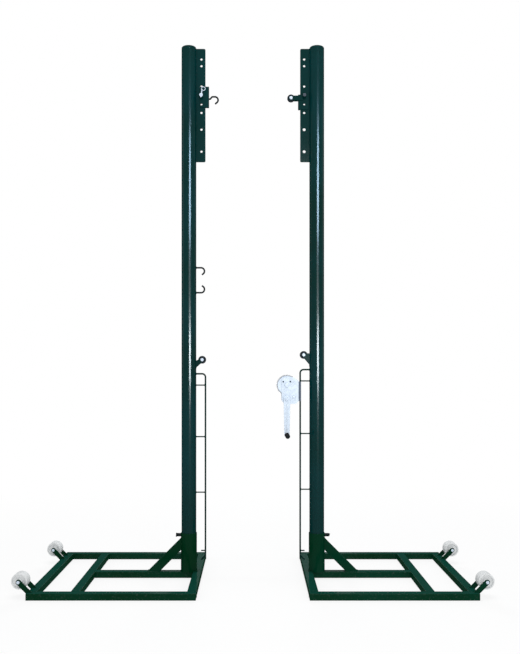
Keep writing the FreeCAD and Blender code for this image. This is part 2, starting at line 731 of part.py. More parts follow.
def make_pull_ring():
    ring = doc.addObject("Part::Torus", "left_pull_ring")
    ring.Label = "left_pull_ring"
    bind(ring, "Radius1", size("ring_r"))
    bind(ring, "Radius2", size("ring_wire"))
    lean = size("ring_r") / math.sqrt(2)
    ring.Placement.Rotation = FreeCAD.Rotation(FreeCAD.Vector(1, 0, 0), 90)
    bind(ring, ".Placement.Base.x", at(LEFT, size("eye_x")) + lean)
    bind(ring, ".Placement.Base.y", ring_plane_y())
    bind(ring, ".Placement.Base.z", size("eye_z") + lean)


def make_arm(word, side):
    """Two plates on the post that hold the lower rope pulley between them."""
    body = new_body(f"{word}_arm")
    root = at(side, size("root_x"))
    foot = [(root, size(f"{word}_arm_high")), (root, size(f"{word}_arm_low"))]
    eye = (at(side, size(f"{word}_arm_x")), size(f"{word}_arm_z"))
    near, far = size("arm_in"), size("arm_in") + size("arm_wall")
    for low, high in ((-far, -near), (near, far)):
        pad_between(body, lambda s: draw_tab(s, foot, eye, size("arm_eye_r")), low, high)
    clear_of_post(body, side, size("post_r"))
    cut_through(body, circle_at(*eye, size("bolt_r") + size("bolt_clear")), "XZ_Plane")


def make_pulley(name, side, x, z, radius):
    body = new_body(name)
    bore, half, lip = size("pulley_bore"), size("pulley_half"), size("pulley_lip")
    groove, floor, bend = radius - size("pulley_groove"), size("pulley_floor"), size("pulley_bend")
    outline = [
        (bore, -half), (radius, -half), (radius, lip - half), (groove, -floor, bend),
        (groove, floor, bend), (radius, half - lip), (radius, half), (bore, half)]
    turned(body, outline, "Y_Axis")
    place(body, at(side, x), 0, z)


def make_pulley_bolt(name, side, x, z, reach):
    body = new_body(name)
    add_bolt(
        body, at(side, x), z, -reach, reach, size("bolt_r"), size("bolt_hex"),
        size("bolt_head"), size("nut_high"), size("bolt_tail"))


def make_lacing_frame(word, side):
    """Upright rod beside the post, held by its bent top and three rungs."""
    body = new_body(f"{word}_lacing_frame")
    x, top = size("lace_x"), size(f"{word}_lace_top")
    path = [
        (size("rod_root"), top), (x, top, size("lace_bend")),
        (x, size("tail_knee"), size("tail_bend")), (size("tail_x"), size("tail_z"))]
    rod(body, path, size("rod_r"), side)
    low, high = span(side, size("rod_root"), x)
    for letter in "abc":
        z = size(f"{word}_rung_{letter}")
        pad_along_x(body, circle_at(0, z, size("rung_r")), low, high)
    low, high = span(side, size("stub_end"), x)
    pad_along_x(body, circle_at(0, size("stub_z"), size("rung_r")), low, high)
    clear_of_post(body, side, size("post_r"))


# Winch on the right post


def draw_bracket_holes(radius):
    """Four circles in the YZ plane, two beside the lacing rod at each of two heights."""
    def draw(sketch):
        for z in (size("clip_bolt_low"), size("clip_bolt_high")):
            for y in (-size("clip_bolt_y"), size("clip_bolt_y")):
                draw_circle(sketch, y, z, radius)
    return draw


def make_winch_bracket():
    """Channel that is open towards the post; its web is welded to the lacing rod."""
    body = new_body("right_winch_bracket")
    inner, outer = size("clip_in"), size("clip_out")
    half, wall, fold = size("clip_half"), size("clip_wall"), size("fold_r")
    web, gap = outer - wall, half - wall
    corners = [
        (inner, -half), (outer, -half, fold), (outer, half, fold), (inner, half), (inner, gap),
        (web, gap), (web, -gap), (inner, -gap)]
    outline = path_of([(at(RIGHT, c[0]),) + c[1:] for c in corners])
    pad_upwards(body, outline, size("clip_low"), size("clip_high"))
    holes = draw_bracket_holes(size("clip_bolt_r") + size("bolt_clear"))
    cut_along_x(body, holes, *span(RIGHT, web - wall, outer + wall))


def make_bracket_bolt(y, z):
    """Bolt along X through both webs, its head inside the winch frame."""
    body = new_body("bracket_bolt")
    head_face = size("clip_out") + size("case_wall")
    nut_face = size("clip_out") - size("clip_wall")
    head, nut = size("clip_head"), size("clip_nut")
    tip = nut_face - nut - size("bolt_tail")
    pad_along_x(body, circle_at(y, z, size("clip_bolt_r")), *span(RIGHT, tip, head_face + head / 2))
    hexagonal = hexagon(y, z, size("clip_hex"))
    pad_along_x(body, hexagonal, *span(RIGHT, head_face, head_face + head))
    pad_along_x(body, hexagonal, *span(RIGHT, nut_face - nut, nut_face))
    return body


def make_winch_frame():
    """Folded frame: a back web and two side plates that carry the shafts."""
    body = new_body("right_winch_frame")
    web, out, top = size("clip_out"), size("case_out"), size("case_top")
    corners = [
        (web, size("case_neck")), (size("case_shoulder"), top), (out, top, size("case_round")),
        (out, size("case_low"), size("case_lobe")),
        (size("case_toe"), size("case_low"), size("case_toe_round")), (web, size("case_heel"))]
    outline = path_of([(at(RIGHT, c[0]),) + c[1:] for c in corners])
    half, wall = size("case_half"), size("case_wall")
    pad_between(body, outline, -half, half)
    low, high = span(RIGHT, web + wall, out + wall)
    room = half - wall
    hollow = path_of([
        (low, size("case_low") - wall), (high, size("case_low") - wall),
        (high, top + wall), (low, top + wall)])
    cut_between(body, hollow, -room, room)
    shaft = size("axle_r") + size("axle_run")
    x = at(RIGHT, size("drum_x"))
    cut_through(body, circle_at(x, size("drum_z"), shaft), "XZ_Plane")
    cut_through(body, circle_at(x, size("pinion_z"), shaft), "XZ_Plane")
    pivot_r = size("pawl_bolt_r") + size("bolt_clear")
    pivot = circle_at(at(RIGHT, size("pawl_x")), size("pawl_z"), pivot_r)
    cut_between(body, pivot, -half, -room)
    holes = draw_bracket_holes(size("clip_bolt_r") + size("bolt_clear"))
    cut_along_x(body, holes, *span(RIGHT, web - wall, web + 2 * wall))


def make_drum():
    body = new_body("right_winch_drum")
    bore = size("axle_r") + size("axle_run")
    core, rim, flange = size("drum_core"), size("drum_rim"), size("drum_flange")
    front, back, soft = size("drum_front"), size("drum_back"), size("rim_soft")
    outline = [
        (bore, size("gear_back")), (core, size("gear_back")), (core, front), (rim, front, soft),
        (rim, front + flange, soft), (core, front + flange), (core, back - flange),
        (rim, back - flange, soft), (rim, back, soft), (bore, back)]
    turned(body, outline, "Y_Axis")
    place(body, at(RIGHT, size("drum_x")), 0, size("drum_z"))


def cut_teeth(body, gap, count):
    """Cuts one tooth gap and repeats it round the Y axis."""
    pocket = cut_through(body, gap, "XZ_Plane")
    pattern = body.newObject("PartDesign::PolarPattern", "teeth")
    pattern.Originals = [pocket]
    pattern.Axis = (origin_feature(body, "Y_Axis"), [""])
    pattern.Angle = 360
    bind(pattern, "Occurrences", count)
    body.Tip = pattern


def make_drum_gear():
    body = new_body("right_drum_gear")
    front, back = size("gear_front"), size("gear_back")
    root, tip, past = size("gear_root"), size("gear_tip"), size("gap_past")
    narrow, wide = size("gear_gap_root"), size("gear_gap_tip")
    pad_between(body, circle_at(0, 0, tip), front, back)
    gap = path_of([
        (-narrow, root), (narrow, root), (wide, tip + past), (-wide, tip + past)])
    cut_teeth(body, gap, size("gear_teeth"))
    cut_through(body, circle_at(0, 0, size("axle_r") + size("axle_run")), "XZ_Plane")
    place(body, at(RIGHT, size("drum_x")), 0, size("drum_z"))


def make_drum_axle():
    body = new_body("right_drum_axle")
    half = size("case_half")
    add_bolt(
        body, at(RIGHT, size("drum_x")), size("drum_z"), -half, half, size("axle_r"),
        size("axle_hex"), size("axle_head"), size("axle_nut"), size("bolt_tail"))


def make_pinion_shaft():
    """Crank shaft with the small gear cut on it and a collar behind the crank."""
    body = new_body("right_pinion_shaft")
    front, back = size("gear_front"), size("gear_back")
    root, tip, past = size("pinion_root"), size("pinion_tip"), size("gap_past")
    narrow, wide = size("pinion_gap_root"), size("pinion_gap_tip")
    pad_between(body, circle_at(0, 0, tip), front, back)
    gap = path_of([(root, -narrow), (tip + past, -wide), (tip + past, wide), (root, narrow)])
    cut_teeth(body, gap, size("pinion_teeth"))
    nose = size("shaft_seat") - size("crank_wall") - size("crank_nut_high")
    tip_y = nose - size("shaft_nose")
    pad_between(body, circle_at(0, 0, size("axle_r")), tip_y, size("shaft_back"))
    collar = circle_at(0, 0, size("shaft_collar_r"))
    pad_between(body, collar, size("shaft_seat"), size("collar_back"))
    place(body, at(RIGHT, size("drum_x")), 0, size("pinion_z"))


def make_crank_arm():
    """Flat arm hanging from the crank shaft, with a spindle for the grip."""
    body = new_body("right_crank_arm")
    back = size("shaft_seat")
    front = back - size("crank_wall")
    drop, half = size("crank_drop"), size("crank_half")
    foot = [(-half, -drop), (half, -drop)]
    pad_between(body, lambda s: draw_tab(s, foot, (0, 0), size("crank_eye")), front, back)
    pad_between(body, circle_at(0, -drop, half), front, back)
    end = size("spindle_end")
    pad_between(body, circle_at(0, -drop, size("spindle_r")), end, front)
    pad_between(body, circle_at(0, -drop, size("spindle_head")), end, end + size("spindle_rivet"))
    cut_through(body, circle_at(0, 0, size("axle_r")), "XZ_Plane")
    place(body, at(RIGHT, size("drum_x")), 0, size("pinion_z"))


def make_crank_grip():
    body = new_body("right_crank_grip")
    bore = size("spindle_r") + size("axle_run")
    outer, waist, soft = size("grip_r"), size("grip_waist"), size("grip_round")
    near, far = size("grip_near"), size("grip_far")
    swell, swell_r = size("grip_swell"), size("swell_r")
    outline = [
        (bore, far), (outer, far, soft), (outer, far + swell, swell_r),
        (waist, (near + far) / 2, size("waist_r")), (outer, near - swell, swell_r),
        (outer, near, soft), (bore, near)]
    turned(body, outline, "Y_Axis")
    place(body, at(RIGHT, size("drum_x")), 0, size("pinion_z") - size("crank_drop"))


def make_crank_nut():
    body = new_body("right_crank_nut")
    back = size("shaft_seat") - size("crank_wall")
    pad_between(body, hexagon(0, 0, size("crank_hex")), back - size("crank_nut_high"), back)
    cut_through(body, circle_at(0, 0, size("axle_r")), "XZ_Plane")
    place(body, at(RIGHT, size("drum_x")), 0, size("pinion_z"))


# Outline of the pawl as engaged: the tip first, then down the tail and back up, each
# corner counted from the pivot.
PAWL_TIP = [(-0.3, 22.2), (1.2, 18.5), (-6.5, -2)]
PAWL_TAIL = [(6.5, -29.5), (12, -27.5)]
PAWL_BACK = [(6.5, 0), (7.5, 18), (3, 21.4)]


def make_pawl():
    """Ratchet lever drawn as engaged and turned back to where it hangs lifted."""
    body = new_body("right_winch_pawl")
    tail = [(x, z, size("pawl_tail_round")) for x, z in PAWL_TAIL]
    outline = path_of(PAWL_TIP + tail + PAWL_BACK)
    front, back = size("pawl_front"), size("pawl_back")
    pad_between(body, outline, front, back)
    pad_between(body, circle_at(0, 0, size("pawl_boss")), front, back)
    cut_through(body, circle_at(0, 0, size("pawl_bolt_r") + size("axle_run")), "XZ_Plane")
    body.Placement.Rotation = FreeCAD.Rotation(FreeCAD.Vector(0, 1, 0), SIZES["pawl_lift"])
    place(body, at(RIGHT, size("pawl_x")), 0, size("pawl_z"))


def make_pawl_bolt():
    body = new_body("right_pawl_bolt")
    x, z = at(RIGHT, size("pawl_x")), size("pawl_z")
    face = -size("case_half")
    pad_between(body, circle_at(x, z, size("pawl_bolt_r")), face, size("pawl_bolt_back"))
    head = circle_at(x, z, size("pawl_bolt_head_r"))
    pad_between(body, head, face - size("pawl_bolt_head"), face)


def make_base(word, side):
    make_rails(word, side)
    make_socket(word, side)
    make_brace(word, side)
    make_lock_screw(word, side)


def make_post_fittings(word, side):
    make_post(word, side)
    make_cap(word, side)
    make_height_plate(word, side)
    make_arm(word, side)
    x, z = size(f"{word}_arm_x"), size(f"{word}_arm_z")
    make_pulley(f"{word}_arm_pulley", side, x, z, size("pulley_r"))
    make_pulley_bolt(f"{word}_arm_pulley_bolt", side, x, z, size("arm_in") + size("arm_wall"))
    make_lacing_frame(word, side)


for word, side in SIDES.items():
    make_base(word, side)
    make_post_fittings(word, side)
group("lock_bosses", [make_lock_boss(side) for side in SIDES.values()])
group("wheel_forks", [make_fork_cheeks(side) for side in SIDES.values()])
group("wheel_bolts", [make_wheel_bolts(side) for side in SIDES.values()])
for word, side, place_word, fork_y in wheel_centres():
    make_wheel(word, side, place_word, fork_y)

make_left_slider()
make_net_hook()
make_left_pin_with_eye()
make_pull_ring()
make_rope_hooks()

make_right_slider()
pulley_x, pulley_z = size("top_pulley_x"), size("top_pulley_z")
make_pulley("right_slider_pulley", RIGHT, pulley_x, pulley_z, size("top_pulley_r"))
tongue = size("slide_out") + size("fork_plate")
make_pulley_bolt("right_slider_pulley_bolt", RIGHT, pulley_x, pulley_z, tongue)
add_pin(new_body("right_height_pin"), RIGHT)

make_winch_bracket()
bolt_spots = [
    (y, size(f"clip_bolt_{level}"))
    for level in ("low", "high") for y in (-size("clip_bolt_y"), size("clip_bolt_y"))]
group("right_bracket_bolts", [make_bracket_bolt(y, z) for y, z in bolt_spots])
make_winch_frame()
make_drum()
make_drum_gear()
make_drum_axle()
make_pinion_shaft()
make_crank_arm()
make_crank_grip()
make_crank_nut()
make_pawl()
make_pawl_bolt()

doc.recompute()

# Pieces used only inside another piece are not written out by themselves.
inside_others = set()
for thing in doc.Objects:
    if thing.TypeId in ("Part::Compound", "Part::Cut", "Part::MultiFuse"):
        inside_others.update(child.Name for child in thing.OutList)
kinds = ("PartDesign::Body", "Part::Compound", "Part::Cut", "Part::Torus")
pieces = [o for o in doc.Objects if o.TypeId in kinds and o.Name not in inside_others]

for thing in doc.Objects:
    if "Invalid" in thing.State or "Error" in thing.State:
        raise RuntimeError(f"{thing.Label} did not build: {thing.State}")
os.makedirs("parts", exist_ok=True)
for piece in pieces:
    if piece.Shape.isNull() or not piece.Shape.isValid():
        raise RuntimeError(f"{piece.Label} has no valid shape")
    piece.Shape.exportStep(f"parts/{piece.Label}.step")
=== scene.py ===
import math
import bmesh
import bpy
import numpy as np
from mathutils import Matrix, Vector
from mathutils.geometry import tessellate_polygon


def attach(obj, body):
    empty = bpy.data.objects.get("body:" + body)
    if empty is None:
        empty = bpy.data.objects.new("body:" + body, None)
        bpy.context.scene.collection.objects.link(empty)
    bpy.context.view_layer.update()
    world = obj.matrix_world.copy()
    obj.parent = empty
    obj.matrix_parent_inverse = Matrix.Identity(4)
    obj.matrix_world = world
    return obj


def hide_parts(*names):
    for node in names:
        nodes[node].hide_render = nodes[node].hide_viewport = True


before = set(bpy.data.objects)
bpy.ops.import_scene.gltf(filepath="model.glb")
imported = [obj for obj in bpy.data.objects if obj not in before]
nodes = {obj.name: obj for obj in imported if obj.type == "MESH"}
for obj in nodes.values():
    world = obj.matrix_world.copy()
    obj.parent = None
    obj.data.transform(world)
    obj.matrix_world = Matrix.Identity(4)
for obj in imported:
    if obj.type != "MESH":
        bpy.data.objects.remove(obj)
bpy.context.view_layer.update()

# The studio: white paper on the floor that runs off into a white surround, with soft boxes
# in front, behind, on both sides and overhead. Two more strips in front are flagged off
# from all but the posts and draw the long highlights down their gloss.

scene = bpy.context.scene
scene.view_settings.view_transform = "Standard"


def combined(tree, operation, first, second):
    """First and second value put through one step of arithmetic."""
    step = tree.nodes.new("ShaderNodeMath")
    step.operation = operation
    tree.links.new(first, step.inputs[0])
    tree.links.new(second, step.inputs[1])
    return step.outputs[0]


def white_to_the_eye(tree, lit, out):
    """Whatever the camera, a mirror or glass sees is plain white; the rest is lit."""
    path = tree.nodes.new("ShaderNodeLightPath")
    total = path.outputs["Is Camera Ray"]
    for ray in ("Is Glossy Ray", "Is Transmission Ray"):
        total = combined(tree, "MAXIMUM", total, path.outputs[ray])
    white = tree.nodes.new("ShaderNodeBackground")
    white.inputs["Color"].default_value = (1, 1, 1, 1)
    choice = tree.nodes.new("ShaderNodeMixShader")
    tree.links.new(total, choice.inputs["Fac"])
    tree.links.new(lit, choice.inputs[1])
    tree.links.new(white.outputs[0], choice.inputs[2])
    tree.links.new(choice.outputs[0], out)


studio = bpy.data.worlds.new("studio")
scene.world = studio
studio.use_nodes = True
tree = studio.node_tree
tree.nodes.clear()
air = tree.nodes.new("ShaderNodeBackground")
air.inputs["Color"].default_value = (0.94, 0.97, 1, 1)
air.inputs["Strength"].default_value = 0.31
world_out = tree.nodes.new("ShaderNodeOutputWorld")
white_to_the_eye(tree, air.outputs[0], world_out.inputs["Surface"])


def soft_box(name, place, aim, width, height, power, tint=(1, 1, 1), shines_on=None):
    """Rectangular lamp at a place, turned so that it shines at the aim.

    A lamp that is flagged off from all but some pieces only shows in their gloss.
    """
    lamp = bpy.data.lights.new(name, "AREA")
    lamp.shape = "RECTANGLE"
    lamp.size, lamp.size_y = width, height
    lamp.energy = power
    lamp.color = tint
    holder = bpy.data.objects.new(name, lamp)
    holder.location = place
    way = Vector(aim) - Vector(place)
    holder.rotation_euler = way.to_track_quat("-Z", "Y").to_euler()
    if shines_on:
        holder.visible_diffuse = False
        holder.light_linking.receiver_collection = shines_on
    scene.collection.objects.link(holder)


gleaming = bpy.data.collections.new("gleaming_pieces")
soft_box("front_box", (1.0, -5.6, 2.2), (0, 0, 1.2), 2.4, 2.4, 122)
soft_box("back_box", (0, 5.6, 2.2), (0, 0, 1.2), 2.4, 2.4, 110)
soft_box("left_box", (-5.4, 0.5, 2.4), (0, 0, 1.1), 1.5, 3.0, 34)
soft_box("right_box", (5.4, 0.5, 2.4), (0, 0, 1.1), 1.5, 3.0, 34)
soft_box("overhead_box", (0, -0.4, 5.2), (0, 0, 0), 4.0, 3.0, 140)
soft_box("low_strip", (1.7, -5.4, 1.15), (0, 0, 1.15), 2.4, 0.62, 940, (0.84, 0.94, 1), gleaming)
soft_box("high_strip", (1.7, -5.4, 3.15), (0, 0, 3.15), 2.4, 1.20, 1240, (0.52, 0.76, 1), gleaming)


def own_place(tree, output="Object"):
    """Where a point lies on the piece itself, or the piece's normal there."""
    return tree.nodes.new("ShaderNodeTexCoord").outputs[output]


def between(tree, value, low, high, to_low=0, to_high=1):
    """Carries a value from one range to another, and no further than its ends."""
    step = tree.nodes.new("ShaderNodeMapRange")
    for name, number in (("From Min", low), ("From Max", high), ("To Min", to_low), ("To Max", to_high)):
        step.inputs[name].default_value = number
    tree.links.new(value, step.inputs["Value"])
    return step.outputs[0]


def new_finish(name):
    """Fresh material with its tree of nodes and its one surface shader."""
    finish = bpy.data.materials.new(name)
    finish.use_nodes = True
    tree = finish.node_tree
    return finish, tree, tree.nodes["Principled BSDF"]


PAPER_REACH, PAPER_Z = 60, -0.0006
paper_corners = [(x * PAPER_REACH, y * PAPER_REACH, PAPER_Z) for x, y in ((-1, -1), (1, -1), (1, 1), (-1, 1))]
paper_mesh = bpy.data.meshes.new("paper")
paper_mesh.from_pydata(paper_corners, [], [(0, 1, 2, 3)])
paper_floor = bpy.data.objects.new("paper_floor", paper_mesh)
scene.collection.objects.link(paper_floor)
paper, tree, shade = new_finish("white_paper")
shade.inputs["Base Color"].default_value = (0.9, 0.9, 0.9, 1)
shade.inputs["Roughness"].default_value = 0.9
glow = tree.nodes.new("ShaderNodeEmission")
glow.inputs["Color"].default_value = (1, 1, 1, 1)
far_off = tree.nodes.new("ShaderNodeVectorMath")
far_off.operation = "LENGTH"
mix = tree.nodes.new("ShaderNodeMixShader")
tree.links.new(own_place(tree), far_off.inputs[0])
tree.links.new(between(tree, far_off.outputs["Value"], 1.2, 3.0, 0.8, 1), mix.inputs["Fac"])
tree.links.new(shade.outputs[0], mix.inputs[1])
tree.links.new(glow.outputs[0], mix.inputs[2])
tree.links.new(mix.outputs[0], tree.nodes["Material Output"].inputs["Surface"])
paper_mesh.materials.append(paper)

FILM_WIDE, PHOTO_WIDE, FOCAL_PIXELS = 36, 520, 800
camera_data = bpy.data.cameras.new("camera")
camera_data.sensor_fit = "HORIZONTAL"
camera_data.sensor_width = FILM_WIDE
camera_data.lens = FILM_WIDE * FOCAL_PIXELS / PHOTO_WIDE
camera_data.shift_x = 0.0138
camera_data.shift_y = 0.0779
camera_data.clip_end = 200
camera = bpy.data.objects.new("camera", camera_data)
camera.location = (0, -3.8186, 1.0)
camera.rotation_euler = (math.pi / 2, 0, 0)
scene.collection.objects.link(camera)
scene.camera = camera

# The two bases: flat frames of 40 by 30 mm rectangular tube, stoved in bottle green. Long
# rails run front and rear, three bars lie between them, and one bar runs along the middle.


def noise(tree, scale, detail=3, roughness=0.5, stretch=(1, 1, 1)):
    """Cloud of the given scale per metre on the piece's own coordinates."""
    turn = tree.nodes.new("ShaderNodeMapping")
    turn.inputs["Scale"].default_value = stretch
    cloud = tree.nodes.new("ShaderNodeTexNoise")
    cloud.inputs["Scale"].default_value = scale
    cloud.inputs["Detail"].default_value = detail
    cloud.inputs["Roughness"].default_value = roughness
    tree.links.new(own_place(tree), turn.inputs["Vector"])
    tree.links.new(turn.outputs[0], cloud.inputs["Vector"])
    return cloud.outputs["Fac"]


def mix_colours(tree, amount, first, second):
    """Goes from the first colour to the second; a colour is three numbers or an output."""
    mixer = tree.nodes.new("ShaderNodeMix")
    mixer.data_type = "RGBA"
    tree.links.new(amount, mixer.inputs["Factor"])
    for name, colour in (("A", first), ("B", second)):
        socket = [s for s in mixer.inputs if s.name == name and s.type == "RGBA"][0]
        if isinstance(colour, tuple):
            socket.default_value = (*colour, 1)
        else:
            tree.links.new(colour, socket)
    return [s for s in mixer.outputs if s.type == "RGBA"][0]


def dress_surface(tree, shade, colour, rough, layers):
    """Links colour and roughness, and stacks layers of (height, depth in metres) as bump."""
    tree.links.new(colour, shade.inputs["Base Color"])
    tree.links.new(rough, shade.inputs["Roughness"])
    last = None
    for height, depth in layers:
        bump = tree.nodes.new("ShaderNodeBump")
        bump.inputs["Distance"].default_value = depth
        bump.inputs["Strength"].default_value = 1
        tree.links.new(height, bump.inputs["Height"])
        if last:
            tree.links.new(last, bump.inputs["Normal"])
        last = bump.outputs[0]
    tree.links.new(last, shade.inputs["Normal"])


def worn_edges(tree, strength):
    """Mask of chips: where a rounded edge and a fine cloud are both high."""
    mark = tree.nodes.new("ShaderNodeAttribute")
    mark.attribute_name = "edge"
    chips = between(tree, noise(tree, 130, 5, 0.7), 0.62 - 0.1 * strength, 0.66)
    return combined(tree, "MULTIPLY", mark.outputs["Fac"], chips)


def thin_gloss(shade, weight, roughness):
    """Mirrors as strongly face on as at a turning edge: a thin share of a dense coat."""
    shade.inputs["Specular IOR Level"].default_value = 0
    shade.inputs["Coat Weight"].default_value = weight
    shade.inputs["Coat IOR"].default_value = 3
    shade.inputs["Coat Roughness"].default_value = roughness


def painted_top_light_mask(tree, strength):
    """Mask of painted light from above where a face looks up: the steepness of its normal, broken up by a
    cloud.
    """
    parts = tree.nodes.new("ShaderNodeSeparateXYZ")
    tree.links.new(own_place(tree, "Normal"), parts.inputs[0])
    facing_up = between(tree, parts.outputs["Z"], 0.6, 0.95, 0, strength)
    return combined(tree, "MULTIPLY", facing_up, between(tree, noise(tree, 24, 4, 0.6), 0.2, 0.6, 0.7, 1))


def green_paint(name, deep, pale, wear=0.3, gloss=0.012, painted_top_light=None):
    """Gloss paint: drifting colour, dulled patches, orange peel and chipped edges.

    Painted light from above lightens the level faces, when a colour for it is given.
    """
    finish, tree, shade = new_finish(name)
    drift = between(tree, noise(tree, 2.6, 2), 0.35, 0.65)
    colour = mix_colours(tree, drift, deep, pale)
    # painted light: faces that look up are lightened towards a paler teal, standing in for light falling from
    # above
    if painted_top_light:
        colour = mix_colours(tree, painted_top_light_mask(tree, 0.9), colour, painted_top_light)
    dust = between(tree, noise(tree, 340, 3, 0.7), 0.60, 0.80, 0, 0.05 + 0.15 * wear)
    colour = mix_colours(tree, dust, colour, (0.015, 0.040, 0.033))
    colour = mix_colours(tree, worn_edges(tree, wear), colour, (0.035, 0.060, 0.052))
    dull = between(tree, noise(tree, 11, 5, 0.65), 0.3, 0.75, 0.34, 0.52 + 0.1 * wear)
    thin_gloss(shade, gloss, 0.14)
    peel = [(noise(tree, 210, 2), 0.00004), (noise(tree, 26, 3), 0.00012)]
    dress_surface(tree, shade, colour, dull, peel)
    return finish


# the last colour is painted light from above, on the upward faces of the bases
base_green = "green_paint", green_paint(
    "base_green_paint", (0.0002, 0.023, 0.007), (0.0008, 0.034, 0.017), 0.6, painted_top_light=(0.004, 0.052, 0.036))


def rounded(corners, closed=True, steps=6):
    """Points along straight lines whose corners (a, b, radius) are turned into arcs.

    An arc runs from one touching point to the other, pushed out to its radius from the
    centre. Each point is (a, b, edge), where edge is 1 in the middle of an arc.
    """
    count = len(corners)
    spots = np.array([corner[:2] for corner in corners], float)
    points = []
    for i, corner in enumerate(corners):
        inner = closed or 0 < i < count - 1
        if len(corner) == 2 or not inner:
            points.append([*spots[i], 0])
            continue
        radius = corner[2]
        back = spots[i - 1] - spots[i]
        ahead = spots[(i + 1) % count] - spots[i]
        back /= np.linalg.norm(back)
        ahead /= np.linalg.norm(ahead)
        half = math.acos(np.clip(back @ ahead, -1, 1)) / 2
        middle = (back + ahead) / np.linalg.norm(back + ahead)
        centre = spots[i] + middle * radius / math.sin(half)
        start = spots[i] + back * radius / math.tan(half) - centre
        end = spots[i] + ahead * radius / math.tan(half) - centre
        share = np.linspace(0, 1, steps)
        arc = start * (1 - share[:, None]) + end * share[:, None]
        arc *= radius / np.linalg.norm(arc, axis=1)[:, None]
        edge = np.sin(np.pi * share)
        points.extend(np.column_stack([arc + centre, edge]))
    return np.array(points, float)


def grid_shell(grid, edge=None):
    """Skin over rows and columns of points, closed round; returns points, faces, edge."""
    rows, columns = grid.shape[:2]
    index = np.arange(rows * columns).reshape(rows, columns)
    right = np.roll(index, -1, axis=1)
    faces = np.stack([index[:-1], right[:-1], right[1:], index[1:]], axis=-1)
    edge = np.zeros((rows, columns)) if edge is None else np.broadcast_to(edge, (rows, columns))
    return grid.reshape(-1, 3), faces.reshape(-1, 4).tolist(), edge.reshape(-1)


def bar(outline, low, high, soft=0.0008):
    """Outline (across, up) carried along from low to high, ends closed and softened.

    Rows run over one end face, along the bar and over the other end face.
    """
    centre = outline[:, :2].mean(axis=0)
    reach = outline[:, :2] - centre
    length = np.linalg.norm(reach, axis=1)[:, None]
    near = reach * (1 - soft / length)
    rows = [(reach * 0, low), (near, low), (reach, low + soft),
            (reach, high - soft), (near, high), (reach * 0, high)]
    grid = np.array([np.column_stack([flat + centre, np.full(len(flat), at)]) for flat, at in rows])
    edge = np.array([0, 0, 1, 1, 0, 0])[:, None] * 0.5 + outline[None, :, 2] * 0.9
    return grid, np.clip(edge, 0, 1)


def add_piece(name, body, coat, shells, stands_for=(), rounding=0, crease=40):
    """One piece of closed shells: merged, its faces turned outwards, shaded smooth.

    A coat is the record's slot and the material that goes with it; only the material is used here.
    """
    slot, finish = coat
    points, faces, edges, count = [], [], [], 0
    for shell_points, shell_faces, shell_edge in shells:
        points.append(shell_points)
        edges.append(shell_edge)
        faces.extend([[count + corner for corner in face] for face in shell_faces])
        count += len(shell_points)
    mesh = bpy.data.meshes.new(name)
    mesh.from_pydata(np.concatenate(points).tolist(), [], faces)
    mark = mesh.attributes.new("edge", "FLOAT", "POINT")
    mark.data.foreach_set("value", np.concatenate(edges).astype(np.float32))
    work = bmesh.new()
    work.from_mesh(mesh)
    bmesh.ops.remove_doubles(work, verts=work.verts, dist=2e-6)
    if rounding:
        bmesh.ops.dissolve_limit(
            work, angle_limit=math.radians(1), verts=work.verts, edges=work.edges)
    bmesh.ops.recalc_face_normals(work, faces=work.faces)
    work.to_mesh(mesh)
    work.free()
    mesh.shade_smooth()
    mesh.set_sharp_from_angle(angle=math.radians(crease))
    mesh.materials.append(finish)
    piece = bpy.data.objects.new(name, mesh)
    scene.collection.objects.link(piece)
    if rounding:
        bevel = piece.modifiers.new("rounded_edges", "BEVEL")
        bevel.width = rounding
        bevel.segments = 2
        bevel.limit_method = "ANGLE"
        bevel.angle_limit = math.radians(35)
    weighted = piece.modifiers.new("flat_faces", "WEIGHTED_NORMAL")
    weighted.keep_sharp = True
    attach(piece, body)
    if stands_for:
        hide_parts(*stands_for)
    return piece


SIDES = {"left": 1, "right": -1}
SPACING = 0.305


def at_post(hand, shell):
    """Moves a shell drawn from its post, court side positive, to its place."""
    points, faces, edge = shell
    points = np.array(points, float)
    points[:, 0] = hand * (points[:, 0] - SPACING)
    return points, faces, edge


def all_at_post(hand, shells):
    """Moves a list of such shells to their place."""
    return [at_post(hand, shell) for shell in shells]


HALF_DEPTH, REACH_IN, REACH_OUT, CROSS_AT = 0.390, 0.060, 0.670, 0.465
WIDE, TALL, CORNER = 0.040, 0.030, 0.003
tube_outline = rounded([
    (-WIDE / 2, 0, CORNER), (WIDE / 2, 0, CORNER), (WIDE / 2, TALL, CORNER), (-WIDE / 2, TALL, CORNER)])


def rail(along_x, middle, low, high):
    """The tube's outline carried from low to high, with its middle line at middle."""
    grid, edge = bar(tube_outline, low, high)
    across, up, along = grid[..., 0] + middle, grid[..., 1], grid[..., 2]
    order = (along, across, up) if along_x else (across, along, up)
    return grid_shell(np.stack(order, axis=-1), edge)


INSIDE = HALF_DEPTH - WIDE
rails = {
    "front_rail": (True, WIDE / 2 - HALF_DEPTH, -REACH_OUT, REACH_IN),
    "rear_rail": (True, HALF_DEPTH - WIDE / 2, -REACH_OUT, REACH_IN),
    "centre_bar": (True, 0, WIDE / 2 - CROSS_AT, REACH_IN - WIDE),
    "outer_rail": (False, WIDE / 2 - REACH_OUT, -INSIDE, INSIDE),
    "inner_rail": (False, REACH_IN - WIDE / 2, -INSIDE, INSIDE),
    "cross_bar": (False, -CROSS_AT, -INSIDE, INSIDE),
}
for word, hand in SIDES.items():
    for piece, layout in rails.items():
        shell = at_post(hand, rail(*layout))
        add_piece(f"{word}_{piece}_tube", "base", base_green, [shell], [f"{word}_{piece}"])

# The sockets: short thick tube, bored for the post, with the edge of its mouth broken. It
# stands on the middle bar and is welded all round.


def full_turn(count):
    """Evenly spaced angles of one turn, from zero."""
    return np.linspace(0, 2 * np.pi, count, endpoint=False)


